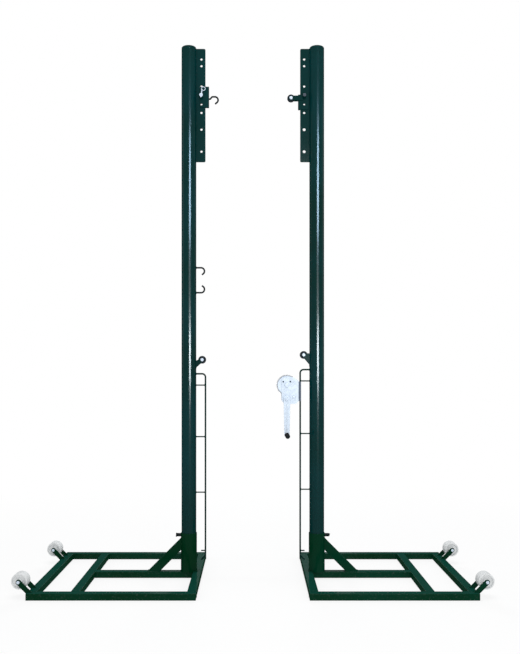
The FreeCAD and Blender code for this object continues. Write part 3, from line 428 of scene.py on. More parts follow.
def turned(outline, centre, axis="Z", around=64, flutes=0, flute_deep=0, flute_from=0):
    """Outline of (radius, height) points swung round an axis through the centre.

    Points further out than flute_from have their radius cut back by a cosine wave.
    """
    outline = np.asarray(outline, float)
    turn = full_turn(around)[None]
    radius = np.repeat(outline[:, :1], around, axis=1)
    if flutes:
        wave = flute_deep * (0.5 + 0.5 * np.cos(flutes * turn))
        radius = radius - wave * (radius > flute_from)
    height = np.repeat(outline[:, 1:2], around, axis=1)
    a, b = radius * np.cos(turn), radius * np.sin(turn)
    order = {"Z": (a, b, height), "Y": (a, height, b), "X": (height, a, b)}[axis]
    grid = np.stack(order, axis=-1) + np.asarray(centre, float)
    edge = outline[:, 2:3] if outline.shape[1] > 2 else np.zeros((len(outline), 1))
    return grid_shell(grid, edge)


def ring(corners):
    """Closed outline of a turned ring, drawn back to its start."""
    outline = rounded(corners)
    return np.vstack([outline, outline[:1]])


socket_wall = ring([
    (0.0355, 0.030, 0.0002), (0.038, 0.030, 0.0002), (0.038, 0.213, 0.001), (0.0355, 0.213, 0.001)])
for word, hand in SIDES.items():
    shell = at_post(hand, turned(socket_wall, (0, 0, 0), around=96))
    add_piece(f"{word}_socket", "base", base_green, [shell], [f"{word}_post_socket"])

# The braces: a length of 40 by 30 mm tube at 45 degrees from the middle bar up to the
# socket, cut flat at the foot and hollowed at the top to fit the socket, then welded.

FOOT_MIDDLE, SLANT_HALF, BRACE_HALF, SOCKET_R = -0.1663, 0.020, 0.015, 0.038
LEAN = math.sqrt(0.5)
slant_outline = rounded([
    (-BRACE_HALF, -SLANT_HALF, 0.003), (BRACE_HALF, -SLANT_HALF, 0.003),
    (BRACE_HALF, SLANT_HALF, 0.003), (-BRACE_HALF, SLANT_HALF, 0.003)])


def slanting_tube():
    """Each line of the tube runs from the bar's top to the round face of the socket.

    A line at (y, n) starts where its height is that of the bar, at -n along the slope,
    and ends where its distance from the post is the root of R squared less y squared.
    """
    y, n = slant_outline[:, 0], slant_outline[:, 1]
    start = -n
    end = (-np.sqrt((SOCKET_R - 0.0004) ** 2 - y ** 2) - FOOT_MIDDLE) / LEAN + n
    share = np.array([0, 0, 0.5, 1, 1])[:, None]
    along = start + (end - start) * share
    squeeze = np.array([0, 1, 1, 1, 0])[:, None]
    y, n = y * squeeze, n * squeeze
    along = np.where(squeeze == 0, along.mean(axis=1, keepdims=True), along)
    away = FOOT_MIDDLE + (along - n) * LEAN
    up = TALL + (along + n) * LEAN
    edge = np.repeat(slant_outline[None, :, 2], 5, axis=0)
    return np.stack([away, np.broadcast_to(y, away.shape), up], axis=-1), edge


for word, hand in SIDES.items():
    shell = at_post(hand, grid_shell(*slanting_tube()))
    add_piece(f"{word}_brace_tube", "base", base_green, [shell], [f"{word}_brace"])

# The weld runs of the bases: rippled fillet beads in the corners between the tubes, round
# the foot of each brace and socket, painted over with the rest.

chance = np.random.default_rng(7)


def spaced(path, step):
    """The path again, with a point at every step of its length."""
    path = np.asarray(path, float)
    length = np.concatenate([[0], np.cumsum(np.linalg.norm(np.diff(path, axis=0), axis=1))])
    count = max(3, int(round(length[-1] / step)) + 1)
    marks = np.linspace(0, length[-1], count)
    return np.column_stack([np.interp(marks, length, path[:, k]) for k in range(3)]), marks


def rod(path, radius, around=14, soft=None, upright=(0, 1, 0), flat=1.0):
    """Round section carried along a path, square to it, its two ends softened.

    The section's first direction is the path's direction crossed with upright, and flat
    presses the section along its second direction.
    """
    path = np.asarray(path, float)
    along = np.gradient(path, axis=0)
    along /= np.linalg.norm(along, axis=1)[:, None]
    side = np.cross(along, upright)
    side /= np.linalg.norm(side, axis=1)[:, None]
    other = np.cross(side, along)
    radius = np.broadcast_to(np.asarray(radius, float), len(path)).copy()
    soft = 0.3 * radius.min() if soft is None else soft
    middle = path.copy()
    middle[0] += along[0] * soft
    middle[-1] -= along[-1] * soft
    rows = [0, 0, *range(len(path)), -1, -1]
    spots = np.vstack([path[:1], path[:1], middle, path[-1:], path[-1:]])
    size = np.concatenate([[0, radius[0] - soft], radius, [radius[-1] - soft, 0]])
    turn = full_turn(around)
    ring_points = np.cos(turn)[None, :, None] * side[rows][:, None]
    ring_points = ring_points + flat * np.sin(turn)[None, :, None] * other[rows][:, None]
    return grid_shell(spots[:, None] + size[:, None, None] * ring_points)


def bead(path, radius=0.0024, pitch=0.0042, upright=(0, 0, 1)):
    """Weld run: a rod whose radius rises and falls once a pitch, with a little chance."""
    spots, marks = spaced(path, 0.0009)
    ripple = 1 + 0.10 * np.sin(2 * np.pi * marks / pitch) + 0.05 * chance.standard_normal(len(marks))
    fade = np.clip(np.minimum(marks, marks[-1] - marks) / (0.8 * radius) + 0.55, 0, 1)
    wander = 0.00012 * chance.standard_normal(spots.shape)
    return rod(spots + wander, radius * ripple * fade, around=8, upright=upright)


def upright_run(x, y, low=0.003, high=TALL - 0.002, thickness=0.0022):
    """Bead that stands in a corner from low to high, as a rule the height of a base tube."""
    return bead([(x, y, low), (x, y, high)], thickness, upright=(0, 1, 0))


def box_joint_runs(x, y):
    """Beads where a bar's end meets a rail: up both inner corners and over the top."""
    half = WIDE / 2
    runs = [upright_run(edge_x, y) for edge_x in (x - half, x + half)]
    top = [(x - half + 0.002, y, TALL - 0.0012), (x + half - 0.002, y, TALL - 0.0012)]
    return [*runs, bead(top, 0.0019)]


def post_foot_runs():
    """Beads along the circle where the socket stands on the bar and on the inner rail."""
    runs = []
    for middle, reach in ((math.pi, 0.53), (0, 0.98)):
        turn = np.linspace(middle - reach, middle + reach, 40)
        radius = SOCKET_R + 0.0006
        path = np.column_stack([radius * np.cos(turn), radius * np.sin(turn), np.full(40, TALL + 0.0006)])
        runs.append(bead(path, 0.0026))
    return runs


def brace_runs():
    """Beads round the foot of the brace and along its joint with the socket."""
    grid = slanting_tube()[0]
    foot = np.vstack([grid[1], grid[1][:1]]) + (0, 0, 0.0006)
    head = np.vstack([grid[3], grid[3][:1]]) - (0.0006, 0, 0)
    return [bead(foot, 0.0026), bead(head, 0.0024, upright=(1, 0, 0))]


for word, hand in SIDES.items():
    runs = []
    for x in (WIDE / 2 - REACH_OUT, -CROSS_AT, REACH_IN - WIDE / 2):
        for y in (-INSIDE, INSIDE):
            runs += box_joint_runs(x, y)
    for x in (WIDE / 2 - CROSS_AT, REACH_IN - WIDE):
        for y in (-WIDE / 2, WIDE / 2):
            runs.append(upright_run(x, y))
        top = [(x, 0.002 - WIDE / 2, TALL - 0.0012), (x, WIDE / 2 - 0.002, TALL - 0.0012)]
        runs.append(bead(top, 0.0019))
    runs += post_foot_runs() + brace_runs()
    add_piece(f"{word}_base_welds", "base", base_green, all_at_post(hand, runs), crease=80)

# The lock screws: a black boss on the side of each socket, with a hand screw through it
# that has a fluted head and a loose cross bar, and bears on the post.

LOCK_Z = 0.202
M8_BORE = 0.00405


def dark_metal(name, tone, roughness):
    """Blackened steel: uneven oxide, faint scratches and edges rubbed back to metal."""
    finish, tree, shade = new_finish(name)
    patches = between(tree, noise(tree, 60, 4, 0.6), 0.35, 0.7)
    colour = mix_colours(tree, patches, tone, tuple(1.8 * part for part in tone))
    colour = mix_colours(tree, worn_edges(tree, 0.6), colour, (0.10, 0.10, 0.10))
    rough = between(tree, noise(tree, 90, 4, 0.6), 0.3, 0.7, roughness - 0.08, roughness + 0.1)
    thin_gloss(shade, 0.025, 0.3)
    dress_surface(tree, shade, colour, rough, [(noise(tree, 420, 3), 0.00005)])
    return finish


black_steel = "dark_steel", dark_metal("black_steel", (0.004, 0.007, 0.008), 0.42)
boss = ring([
    (M8_BORE, -0.048, 0.0003), (0.008, -0.048, 0.0008), (0.008, -0.0374, 0.0002),
    (M8_BORE, -0.0374, 0.0002)])
shells = [at_post(hand, turned(boss, (0, 0, LOCK_Z), "X", 32)) for hand in SIDES.values()]
add_piece("lock_boss_pair", "base", black_steel, shells, ["lock_bosses"])

screw = rounded([
    (0, -0.058), (0.008, -0.058, 0.0014), (0.008, -0.0484, 0.0014), (0.004, -0.0484, 0.0003),
    (0.004, -0.0354, 0.0008), (0, -0.0354)], closed=False)
tilt = math.radians(33)
bar_reach = 0.0125
for word, hand in SIDES.items():
    lean = np.array([0, math.cos(tilt), hand * math.sin(tilt)]) * bar_reach
    middle = np.array([-0.0595, 0, LOCK_Z])
    cross = rod([middle - lean, middle, middle + lean], 0.0025, soft=0.0010, upright=(1, 0, 0))
    head = turned(screw, (0, 0, LOCK_Z), "X", 96, flutes=12, flute_deep=0.0007, flute_from=0.0075)
    add_piece(f"{word}_hand_screw", f"{word}_lock", black_steel,
              all_at_post(hand, [head, cross]), [f"{word}_lock_screw"])

# The transport wheels: turned white nylon rollers with a rounded tread, a recess in each
# face and a hub that just fills the fork.


def nylon(name, clean, soiled, roughness, scuff, gloss=0.03):
    """Cast nylon: soft sheen, a slight bloom and grey scuffs where it rolls."""
    finish, tree, shade = new_finish(name)
    thin_gloss(shade, gloss, roughness)
    bloom = between(tree, noise(tree, 35, 4, 0.6), 0.35, 0.7)
    colour = mix_colours(tree, bloom, clean, tuple(0.5 * (a + b) for a, b in zip(clean, soiled)))
    marks = between(tree, noise(tree, 120, 5, 0.7, (1, 0.3, 1)), 0.56, 0.72, 0, scuff)
    colour = mix_colours(tree, marks, colour, soiled)
    rough = between(tree, noise(tree, 80, 3), 0.3, 0.7, roughness - 0.06, roughness + 0.08)
    dress_surface(tree, shade, colour, rough, [(noise(tree, 500, 3), 0.00004)])
    return finish


def both_faces(half):
    """Closed outline of one half and, taken backwards, of its mirror image."""
    return ring([*half, *((radius, -height, soft) for radius, height, soft in reversed(half))])


white_nylon = "white_nylon", nylon(
    "white_nylon", (0.72, 0.735, 0.74), (0.60, 0.61, 0.61), 0.42, 0.06, 0.05)
WHEEL_AT, WHEEL_Z = -0.706, 0.074
FORKS = {"front": -0.3325, "rear": 0.2755}
wheel_outline = both_faces([
    (M8_BORE, -0.034, 0.0004), (0.014, -0.034, 0.0010), (0.014, -0.023, 0.0016),
    (0.028, -0.023, 0.0016), (0.028, -0.029, 0.0008), (0.035, -0.029, 0.0055)])
for word, hand in SIDES.items():
    for place, y in FORKS.items():
        shell = at_post(hand, turned(wheel_outline, (WHEEL_AT, y, WHEEL_Z), "Y", 96))
        add_piece(f"{word}_{place}_nylon_wheel", f"{word}_{place}_roller", white_nylon,
                  [shell], [f"{word}_{place}_wheel"])

# The wheel forks: pairs of 5 mm plates cut with a round tip, standing on the end of the
# base and lapped over its face, welded along the foot.


def around_circle(x, z, radius, count=48):
    """Evenly spaced points of a circle, as an outline."""
    turn = full_turn(count)
    return np.column_stack([x + radius * np.cos(turn), z + radius * np.sin(turn), np.zeros(count)])


def wrapped(spots):
    """Tight outline round a set of points, found by walking the hull."""
    spots = sorted(map(tuple, np.round(np.asarray(spots)[:, :2], 9)))
    hull = []
    for run in (spots, spots[::-1]):
        start = len(hull)
        for spot in run:
            while len(hull) - start > 1:
                (ax, az), (bx, bz) = hull[-2], hull[-1]
                if (bx - ax) * (spot[1] - az) - (bz - az) * (spot[0] - ax) > 1e-12:
                    break
                hull.pop()
            hull.append(spot)
        hull.pop()
    return np.column_stack([np.array(hull), np.zeros(len(hull))])


def slab(outline, low, high, soft=0.0005, holes=()):
    """Plate in the XZ plane between two Y limits with rounded rims, pierced by holes.

    Each loop becomes eight rows: the rim is drawn in by soft (1 - sin) while it goes
    down by soft (1 - cos). The flat faces are filled between the outermost rows.
    """
    turn = np.linspace(0, np.pi / 2, 4)
    inset = soft * (1 - np.sin(turn))
    drop = soft * (1 - np.cos(turn))
    rows_in = np.concatenate([inset, inset[::-1]])
    rows_y = np.concatenate([low + drop, high - drop[::-1]])
    rows_edge = np.array([0, 1, 1, 0, 0, 1, 1, 0.0])
    points, faces, edges, count = [], [], [], 0
    rims = {0: [], -1: []}
    for k, loop in enumerate([outline, *holes]):
        loop = np.asarray(loop, float)
        flat = loop[:, :2]
        ahead = np.roll(flat, -1, axis=0)
        area = (flat[:, 0] * ahead[:, 1] - ahead[:, 0] * flat[:, 1]).sum()
        if (area < 0) != (k > 0):
            loop, flat = loop[::-1], flat[::-1]
        along = np.roll(flat, -1, axis=0) - np.roll(flat, 1, axis=0)
        along /= np.linalg.norm(along, axis=1)[:, None]
        inward = np.column_stack([-along[:, 1], along[:, 0]])
        placed = flat[None] + inward[None] * rows_in[:, None, None]
        height = np.repeat(rows_y[:, None], len(flat), axis=1)
        grid = np.stack([placed[..., 0], height, placed[..., 1]], axis=-1)
        loop_points, loop_faces, loop_edge = grid_shell(grid, rows_edge[:, None])
        points.append(loop_points)
        edges.append(loop_edge)
        faces += [[count + corner for corner in face] for face in loop_faces]
        for row in rims:
            first = count + (row % 8) * len(flat)
            rims[row].append((placed[row], first))
        count += len(loop_points)
    for row, rim in rims.items():
        index = np.concatenate([first + np.arange(len(flat)) for flat, first in rim])
        loops = [[Vector((a, b, 0)) for a, b in flat] for flat, first in rim]
        faces += [[int(index[corner]) for corner in face] for face in tessellate_polygon(loops)]
    return np.concatenate(points), faces, np.concatenate(edges)


BOLT_HOLE = 0.0042
FORK_FACE, FORK_INSIDE, CHEEK_THICK = 0.040, 0.035, 0.005
cheek = wrapped(np.vstack([
    around_circle(WHEEL_AT, WHEEL_Z, 0.011),
    [(-0.6464, TALL, 0), (-REACH_OUT, 0.0224, 0), (-0.655, 0.026, 0)]]))
cheek_hole = around_circle(WHEEL_AT, WHEEL_Z, BOLT_HOLE, 24)
fork_shells, fork_welds = [], []
for hand in SIDES.values():
    for y in FORKS.values():
        for low in (y - FORK_FACE, y + FORK_INSIDE):
            high = low + CHEEK_THICK
            fork_shells.append(at_post(hand, slab(cheek, low, high, 0.0008, [cheek_hole])))
            for side in (low, high):
                run = [(-0.669, side, TALL + 0.0004), (-0.648, side, TALL + 0.0004)]
                fork_welds.append(at_post(hand, bead(run, 0.0020)))
add_piece("wheel_fork_plates", "base", base_green, fork_shells, ["wheel_forks"])
add_piece("wheel_fork_welds", "base", base_green, fork_welds, crease=80)

# The wheel bolts: zinc-plated M8 hexagon bolts through both fork plates and the roller,
# with a nut behind and two threads showing past it.


def zinc(name, tone, roughness):
    """Plated steel: bluish metal with a faint spangle, drawn marks and dull spots."""
    finish, tree, shade = new_finish(name)
    cells = tree.nodes.new("ShaderNodeTexVoronoi")
    cells.inputs["Scale"].default_value = 160
    tree.links.new(own_place(tree), cells.inputs["Vector"])
    spangle = between(tree, cells.outputs["Color"], 0, 1, 0, 0.5)
    colour = mix_colours(tree, spangle, tone, tuple(0.82 * part for part in tone))
    stain = between(tree, noise(tree, 70, 5, 0.65), 0.58, 0.75, 0, 0.5)
    colour = mix_colours(tree, stain, colour, tuple(0.6 * part for part in tone))
    shade.inputs["Metallic"].default_value = 0.3
    rough = between(tree, noise(tree, 45, 4, 0.6), 0.3, 0.7, roughness - 0.08, roughness + 0.12)
    dress_surface(tree, shade, colour, rough, [(noise(tree, 300, 3), 0.00004)])
    return finish


bright_zinc = "bright_zinc", zinc("bright_zinc", (0.60, 0.69, 0.80), 0.45)
WASHER_HIGH, THREAD_SHOWN = 0.0012, 0.002


def six_sided(x, z, across):
    """Hexagon with its corners just broken."""
    corner = across / math.sqrt(3)
    turns = [math.radians(60 * k) for k in range(6)]
    return rounded([(x + corner * math.cos(t), z + corner * math.sin(t), 0.0006) for t in turns], steps=3)


def threaded_end(x, z, radius, low, high, pitch=0.00125):
    """Bolt end: the radius falls by a triangle wave of one pitch for the thread."""
    marks = np.linspace(low, high, 4 * max(2, round((high - low) / pitch)) + 1)
    wave = np.abs(((marks - low) / pitch) % 1 - 0.5) * 2
    tip = [(radius - 0.0012, high + 0.0002), (0, high + 0.0002)]
    return turned([(0, low), *zip(radius - 0.0007 * wave, marks), *tip], (x, 0, z), "Y", 24)


def bolt_set(x, z, front, back, washer=0, radius=0.004, across=0.013, head=0.0055, nut=0.0065):
    """Hexagon head before one face, nut behind the other, and washers if given a radius."""
    washers = []
    if washer:
        for low in (front - WASHER_HIGH, back):
            washers.append(slab(around_circle(x, z, washer), low, low + WASHER_HIGH, 0.0003))
    solid = [
        slab(six_sided(x, z, across), front - head, front - 0.0002, 0.0007),
        slab(six_sided(x, z, across), back + 0.0002, back + nut, 0.0007)]
    shank = turned([(0, front), (radius, front), (radius, back), (0, back)], (x, 0, z), "Y", 32)
    thread = threaded_end(x, z, radius, back + nut - 0.0005, back + nut + THREAD_SHOWN - 0.0003)
    return washers + solid + [shank, thread]


shells = []
for hand in SIDES.values():
    for y in FORKS.values():
        shells += all_at_post(hand, bolt_set(WHEEL_AT, WHEEL_Z, y - FORK_FACE, y + FORK_FACE))
add_piece("wheel_bolt_sets", "base", bright_zinc, shells, ["wheel_bolts"])

# The posts: 70 mm steel tube standing in the sockets, in the same green but glossier and
# bluer than the bases, with a pressed cap driven into the top.

post_green = "green_paint", green_paint(
    "post_green_paint", (0.0003, 0.021, 0.018), (0.0010, 0.030, 0.033), 0.1, 0.024)
POST_R, POST_END, POST_TOP = 0.035, 2.516, 2.528
post_wall = ring([
    (0.032, 0.030, 0.0004), (POST_R, 0.030, 0.0004), (POST_R, POST_END - 0.0002, 0.0004),
    (0.032, POST_END - 0.0002, 0.0004)])
cap = rounded([
    (0, 2.491), (0.0318, 2.491, 0.001), (0.0318, POST_END, 0.0001), (POST_R, POST_END, 0.0005),
    (POST_R, POST_TOP, 0.007), (0, POST_TOP)], closed=False, steps=14)
for word, hand in SIDES.items():
    for piece, outline, node in (("post_shaft", post_wall, "post_tube"), ("cap", cap, "post_cap")):
        shell = at_post(hand, turned(outline, (0, 0, 0), around=128))
        gleaming.objects.link(add_piece(
            f"{word}_{piece}", f"{word}_post", post_green, [shell], [f"{word}_{node}"]))

# The height plates: 6 mm flat bar welded edge on to each post in short runs, with a row
# of drilled holes for the height pin. What is welded to a post starts inside its wall.

WELDED_AT = 0.0338
HOLE_X = 0.060
HOLES = (2.030, 2.135, 2.215, 2.255, 2.291, 2.341, 2.438, 2.470)
PIN_Z = HOLES[4]
plate = rounded([(WELDED_AT, 1.980), (0.079, 1.980, 0.006), (0.079, 2.520, 0.006), (WELDED_AT, 2.520)])
for word, hand in SIDES.items():
    large = HOLES[:2] if word == "right" else ()
    holes = [around_circle(HOLE_X, z, 0.007 if z in large else 0.0055, 32) for z in HOLES]
    shell = at_post(hand, slab(plate, -0.003, 0.003, 0.0007, holes))
    add_piece(f"{word}_hole_plate", f"{word}_post", post_green, [shell], [f"{word}_height_plate"])
    runs = [upright_run(0.0352, y, start, start + 0.034, 0.0024)
            for y in (-0.0044, 0.0044) for start in np.arange(1.983, 2.5, 0.0805)]
    add_piece(f"{word}_plate_welds", f"{word}_post", post_green, all_at_post(hand, runs), crease=80)

# The arms and their pulleys: two 4 mm plates on each post hold a black nylon pulley on a
# zinc bolt, over which the net's lower rope runs.

black_nylon = "dark_nylon", nylon(
    "black_nylon", (0.003, 0.009, 0.016), (0.020, 0.026, 0.030), 0.40, 0.3)


def cut_off(outline, x):
    """Keeps the part of a convex outline beyond x, closed by a straight cut."""
    flat = outline[:, :2]
    ahead = np.roll(flat, -1, axis=0)
    kept = []
    for here, there in zip(flat, ahead):
        if here[0] >= x:
            kept.append(here)
        if (here[0] - x) * (there[0] - x) < 0:
            share = (x - here[0]) / (there[0] - here[0])
            kept.append(here + share * (there - here))
    kept = np.array(kept)
    return np.column_stack([kept, np.zeros(len(kept))])


def pulley(x, z, radius):
    """Grooved wheel: flat faces, rounded lips and a round-bottomed rope groove."""
    low = radius - 0.0055
    outline = both_faces([
        (M8_BORE, -0.006, 0.0002), (radius, -0.006, 0.0007), (radius, -0.0045, 0.0006),
        (low, -0.0015, 0.002)])
    return turned(outline, (x, 0, z), "Y", 64)


M8_WASHER = 0.0078
ARMS = {"left": (0.0635, 1.037, 0.987, 1.026), "right": (0.0625, 1.060, 0.996, 1.067)}
for word, hand in SIDES.items():
    x, z, low, high = ARMS[word]
    foot = [(0.020, low, 0), (0.020, high, 0)]
    outline = cut_off(wrapped(np.vstack([around_circle(x, z, 0.0085), foot])), 0.0336)
    hole = around_circle(x, z, BOLT_HOLE, 24)
    plates = [slab(outline, *limits, 0.0006, [hole]) for limits in ((-0.011, -0.007), (0.007, 0.011))]
    body = f"{word}_post"
    add_piece(f"{word}_arm_plates", body, post_green, all_at_post(hand, plates), [f"{word}_arm"])
    runs = []
    foot_high = low + (high - low) * 0.95
    for y in (-0.0115, 0.0115):
        touch = math.sqrt(POST_R ** 2 - y ** 2) + 0.0004
        runs.append(upright_run(touch, y, low + 0.008, foot_high))
    add_piece(f"{word}_arm_welds", body, post_green, all_at_post(hand, runs), crease=80)
    add_piece(f"{word}_rope_pulley", f"{word}_sheave", black_nylon,
              [at_post(hand, pulley(x, z, 0.0185))], [f"{word}_arm_pulley"])
    parts = bolt_set(x, z, -0.011, 0.011, M8_WASHER)
    add_piece(f"{word}_pulley_bolt_set", body, bright_zinc,
              all_at_post(hand, parts), [f"{word}_arm_pulley_bolt"])

# The lacing frames: 8 mm rod bent over at the top and kinked at the foot, stood off from
# each post by 6 mm rungs, to lace the net's end to; painted a thin dark green.

rod_green = "green_paint", green_paint(
    "rod_green_paint", (0.003, 0.020, 0.016), (0.005, 0.030, 0.025), 0.5)
LACE_X, LOW_RUNG = 0.079, 0.127
LACING = {"left": (0.970, 0.916, 0.670, 0.405), "right": (0.990, 0.936, 0.685, 0.419)}


def in_xz(corners):
    """Bent centre line through corners (x, z, radius), as points in space."""
    flat = rounded(corners, closed=False, steps=12)
    return np.column_stack([flat[:, 0], np.zeros(len(flat)), flat[:, 1]])


def weld_ring(x, z, radius, thickness, pitch):
    """Bead along a circle of that radius round a rod that ends at x."""
    turn = np.linspace(0, 2 * np.pi, 25)
    loop = np.column_stack([np.full(25, x), radius * np.cos(turn), z + radius * np.sin(turn)])
    return bead(loop, thickness, pitch, upright=(1, 0, 0))


for word, hand in SIDES.items():
    top, *rungs = LACING[word]
    upright = in_xz([(WELDED_AT, top), (LACE_X, top, 0.016), (LACE_X, 0.103, 0.012), (0.0592, 0.083)])
    shells = [rod(upright, 0.004, 16)]
    for start, half_way, z in [*((WELDED_AT, 0.05, z) for z in rungs), (0.058, 0.065, LOW_RUNG)]:
        shells.append(rod([(start, 0, z), (half_way, 0, z), (LACE_X, 0, z)], 0.003))
    near_post, at_rod = 0.0354, LACE_X - 0.0043
    joints = [(near_post, 0.0033, rungs), (at_rod, 0.0033, [*rungs, LOW_RUNG]), (near_post, 0.0043, [top])]
    for x, radius, heights in joints:
        shells += [weld_ring(x, z, radius, 0.0011, 0.002) for z in heights]
    add_piece(f"{word}_lacing_rods", f"{word}_post", rod_green,
              all_at_post(hand, shells), [f"{word}_lacing_frame"], crease=60)

# The rope hooks of the left post: two bent 8 mm rods facing apart, blackened.

shells = []
for z, rise in ((1.476, -0.034), (1.357, 0.034)):
    line = in_xz([(WELDED_AT, z), (0.1013, z, 0.016), (0.062, z + rise)])
    shells += [rod(line, 0.004, 16, soft=0.0016), weld_ring(0.0356, z, 0.0044, 0.0013, 0.0024)]
add_piece("left_hook_pair", "left_post", black_steel,
          all_at_post(1, shells), ["left_rope_hooks"], crease=60)

# The sliders: folded channels that grip the edge of each height plate, with a guide collar
# for the pin; the left one carries the net hook, the right one a small rope pulley.


def solid_skin(node):
    """The surface of a solid as model.glb holds it, one triangle after another."""
    mesh = nodes[node].data
    points = np.empty(len(mesh.vertices) * 3)
    mesh.vertices.foreach_get("co", points)
    faces = [list(face.vertices) for face in mesh.polygons]
    return points.reshape(-1, 3), faces, np.zeros(len(mesh.vertices))


for word in SIDES:
    add_piece(f"{word}_slider_channel", f"{word}_carriage", post_green,
              [solid_skin(f"{word}_slider")], [f"{word}_slider"], rounding=0.0006)

line = in_xz([
    (0.0955, 2.281), (0.102, 2.281, 0.006), (0.110, 2.292, 0.010), (0.139, 2.292, 0.015),
    (0.139, 2.270, 0.012), (0.125, 2.257)])
add_piece("left_net_loop_hook", "left_carriage", black_steel,
          [at_post(1, rod(line, 0.004, 16, soft=0.0016))], ["left_net_hook"])
SMALL_PULLEY_AT = (0.123, 2.284)
add_piece("right_small_pulley", "right_top_sheave", black_nylon,
          [at_post(-1, pulley(*SMALL_PULLEY_AT, 0.0175))], ["right_slider_pulley"])
parts = bolt_set(*SMALL_PULLEY_AT, -0.0103, 0.0103, M8_WASHER)
add_piece("right_small_pulley_bolt_set", "right_carriage", bright_zinc,
          all_at_post(-1, parts), ["right_slider_pulley_bolt"])

# The height pins: zinc-plated headed pins drawn forward in their collars; the left one
# has an upright leg with an eye, through which a split pull ring swings. The heads stop a
# tenth of a millimetre short of the collars when they are pushed home.

SEAT, SEAT_ROOM = -0.0298, 0.0001
skin, skin_faces, skin_edge = solid_skin("left_height_pin")
skin[np.abs(skin[:, 1] - SEAT) < 1e-5, 1] -= SEAT_ROOM
add_piece("left_pin_and_leg", "left_pin", bright_zinc,
          [(skin, skin_faces, skin_edge)], ["left_height_pin"], rounding=0.0004)
pin = rounded([
    (0, -0.0338), (0.008, -0.0338, 0.0012), (0.008, SEAT - SEAT_ROOM, 0.0005), (0.005, SEAT - SEAT_ROOM),
    (0.005, -0.0035, 0.0012), (0, -0.0035)], closed=False)
smoked_zinc = "bright_zinc", zinc("smoked_zinc", (0.030, 0.045, 0.065), 0.42)
add_piece("right_pin", "right_pin", smoked_zinc,
          [at_post(-1, turned(pin, (HOLE_X, 0, PIN_Z), "Y", 48))], ["right_height_pin"])


def hoop(x, y, z, radius, wire, around=72, section=16):
    """Ring in the XZ plane: a small circle swung round a large one."""
    turn = np.linspace(0, 2 * np.pi, around + 1)[:, None]
    roll = full_turn(section)[None]
    reach = radius + wire * np.cos(roll)
    grid = np.stack([
        x + reach * np.cos(turn), y + wire * np.sin(roll) + 0 * turn, z + reach * np.sin(turn)], axis=-1)
    return grid_shell(grid)


lean = 0.009 / math.sqrt(2)
add_piece("left_ring", "left_ring", bright_zinc,
          [at_post(1, hoop(0.0646 + lean, -0.0368, 2.3116 + lean, 0.009, 0.0015))], ["left_pull_ring"])

# The winch bracket: a short channel welded to the outside of the right lacing rod, with
# four zinc bolts that hold the winch to it.

# a copy of the plating at about a tenth of its tone: painted shade, for zinc seen in shadow
shaded_zinc = "bright_zinc", zinc("shaded_zinc", (0.060, 0.085, 0.125), 0.45)
add_piece("right_bracket_channel", "right_post", shaded_zinc,
          [solid_skin("right_winch_bracket")], ["right_winch_bracket"], rounding=0.0006)
add_piece("right_bracket_bolt_set", "right_post", bright_zinc,
          [solid_skin("right_bracket_bolts")], ["right_bracket_bolts"], rounding=0.0004)
# the bracket welds also take the darkened zinc: painted shade
runs = [upright_run(0.0822, y, start, start + 0.018, 0.0016)
        for y in (-0.0034, 0.0034) for start in (0.843, 0.878, 0.913)]
add_piece("right_bracket_welds", "right_post", shaded_zinc, all_at_post(-1, runs), crease=80)

# The winch frame: 3 mm sheet folded to a back and two sides, bright zinc, with two round
# rivet heads on the outside of each side.

add_piece("right_winch_sides", "right_post", bright_zinc,
          [solid_skin("right_winch_frame")], ["right_winch_frame"], rounding=0.0006)
rivet_head = rounded([
    (0, -0.0322), (0.0042, -0.0322, 0.0020), (0.0042, -0.0299, 0.0002), (0, -0.0299)], closed=False)
rivets = [turned(outline, (x, 0, 0.933), "Y", 32)
          for x in (0.127, 0.161) for outline in (rivet_head, rivet_head * (1, -1, 1))]
# the rivet heads take the same darkened zinc: painted shade
add_piece("right_frame_rivets", "right_post", ("dark_steel", shaded_zinc[1]), all_at_post(-1, rivets))

# The drum and its gear: a turned drum with two flanges and a 48-tooth gear on its front,
# both plated and turning on one long bolt.

DRUM_X, DRUM_Z, PINION_Z = 0.144, 0.917, 0.851
AXLE_BORE = 0.00605
drum = ring([
    (AXLE_BORE, -0.020, 0.0003), (0.015, -0.020, 0.0003), (0.015, -0.018, 0.0001), (0.039, -0.018, 0.001),
    (0.039, -0.015, 0.001), (0.015, -0.015, 0.0006), (0.015, 0.021, 0.0006), (0.039, 0.021, 0.001),
    (0.039, 0.024, 0.001), (AXLE_BORE, 0.024, 0.0003)])
add_piece("right_rope_drum", "winch_drum", bright_zinc,
          [at_post(-1, turned(drum, (DRUM_X, 0, DRUM_Z), "Y", 96))], ["right_winch_drum"])


def toothed(x, z, teeth, root, tip, gap_root, gap_tip):
    """Gear outline: for every tooth gap, down one flank, along the root and up again."""
    flank = np.array([(-gap_tip, tip), (-gap_root, root), (gap_root, root), (gap_tip, tip)])
    turn = -2 * np.pi * np.arange(teeth)[:, None] / teeth
    across, out = flank[None, :, 0], flank[None, :, 1]
    a = across * np.cos(turn) - out * np.sin(turn)
    b = across * np.sin(turn) + out * np.cos(turn)
    return np.column_stack([x + a.reshape(-1), z + b.reshape(-1), np.zeros(a.size)])


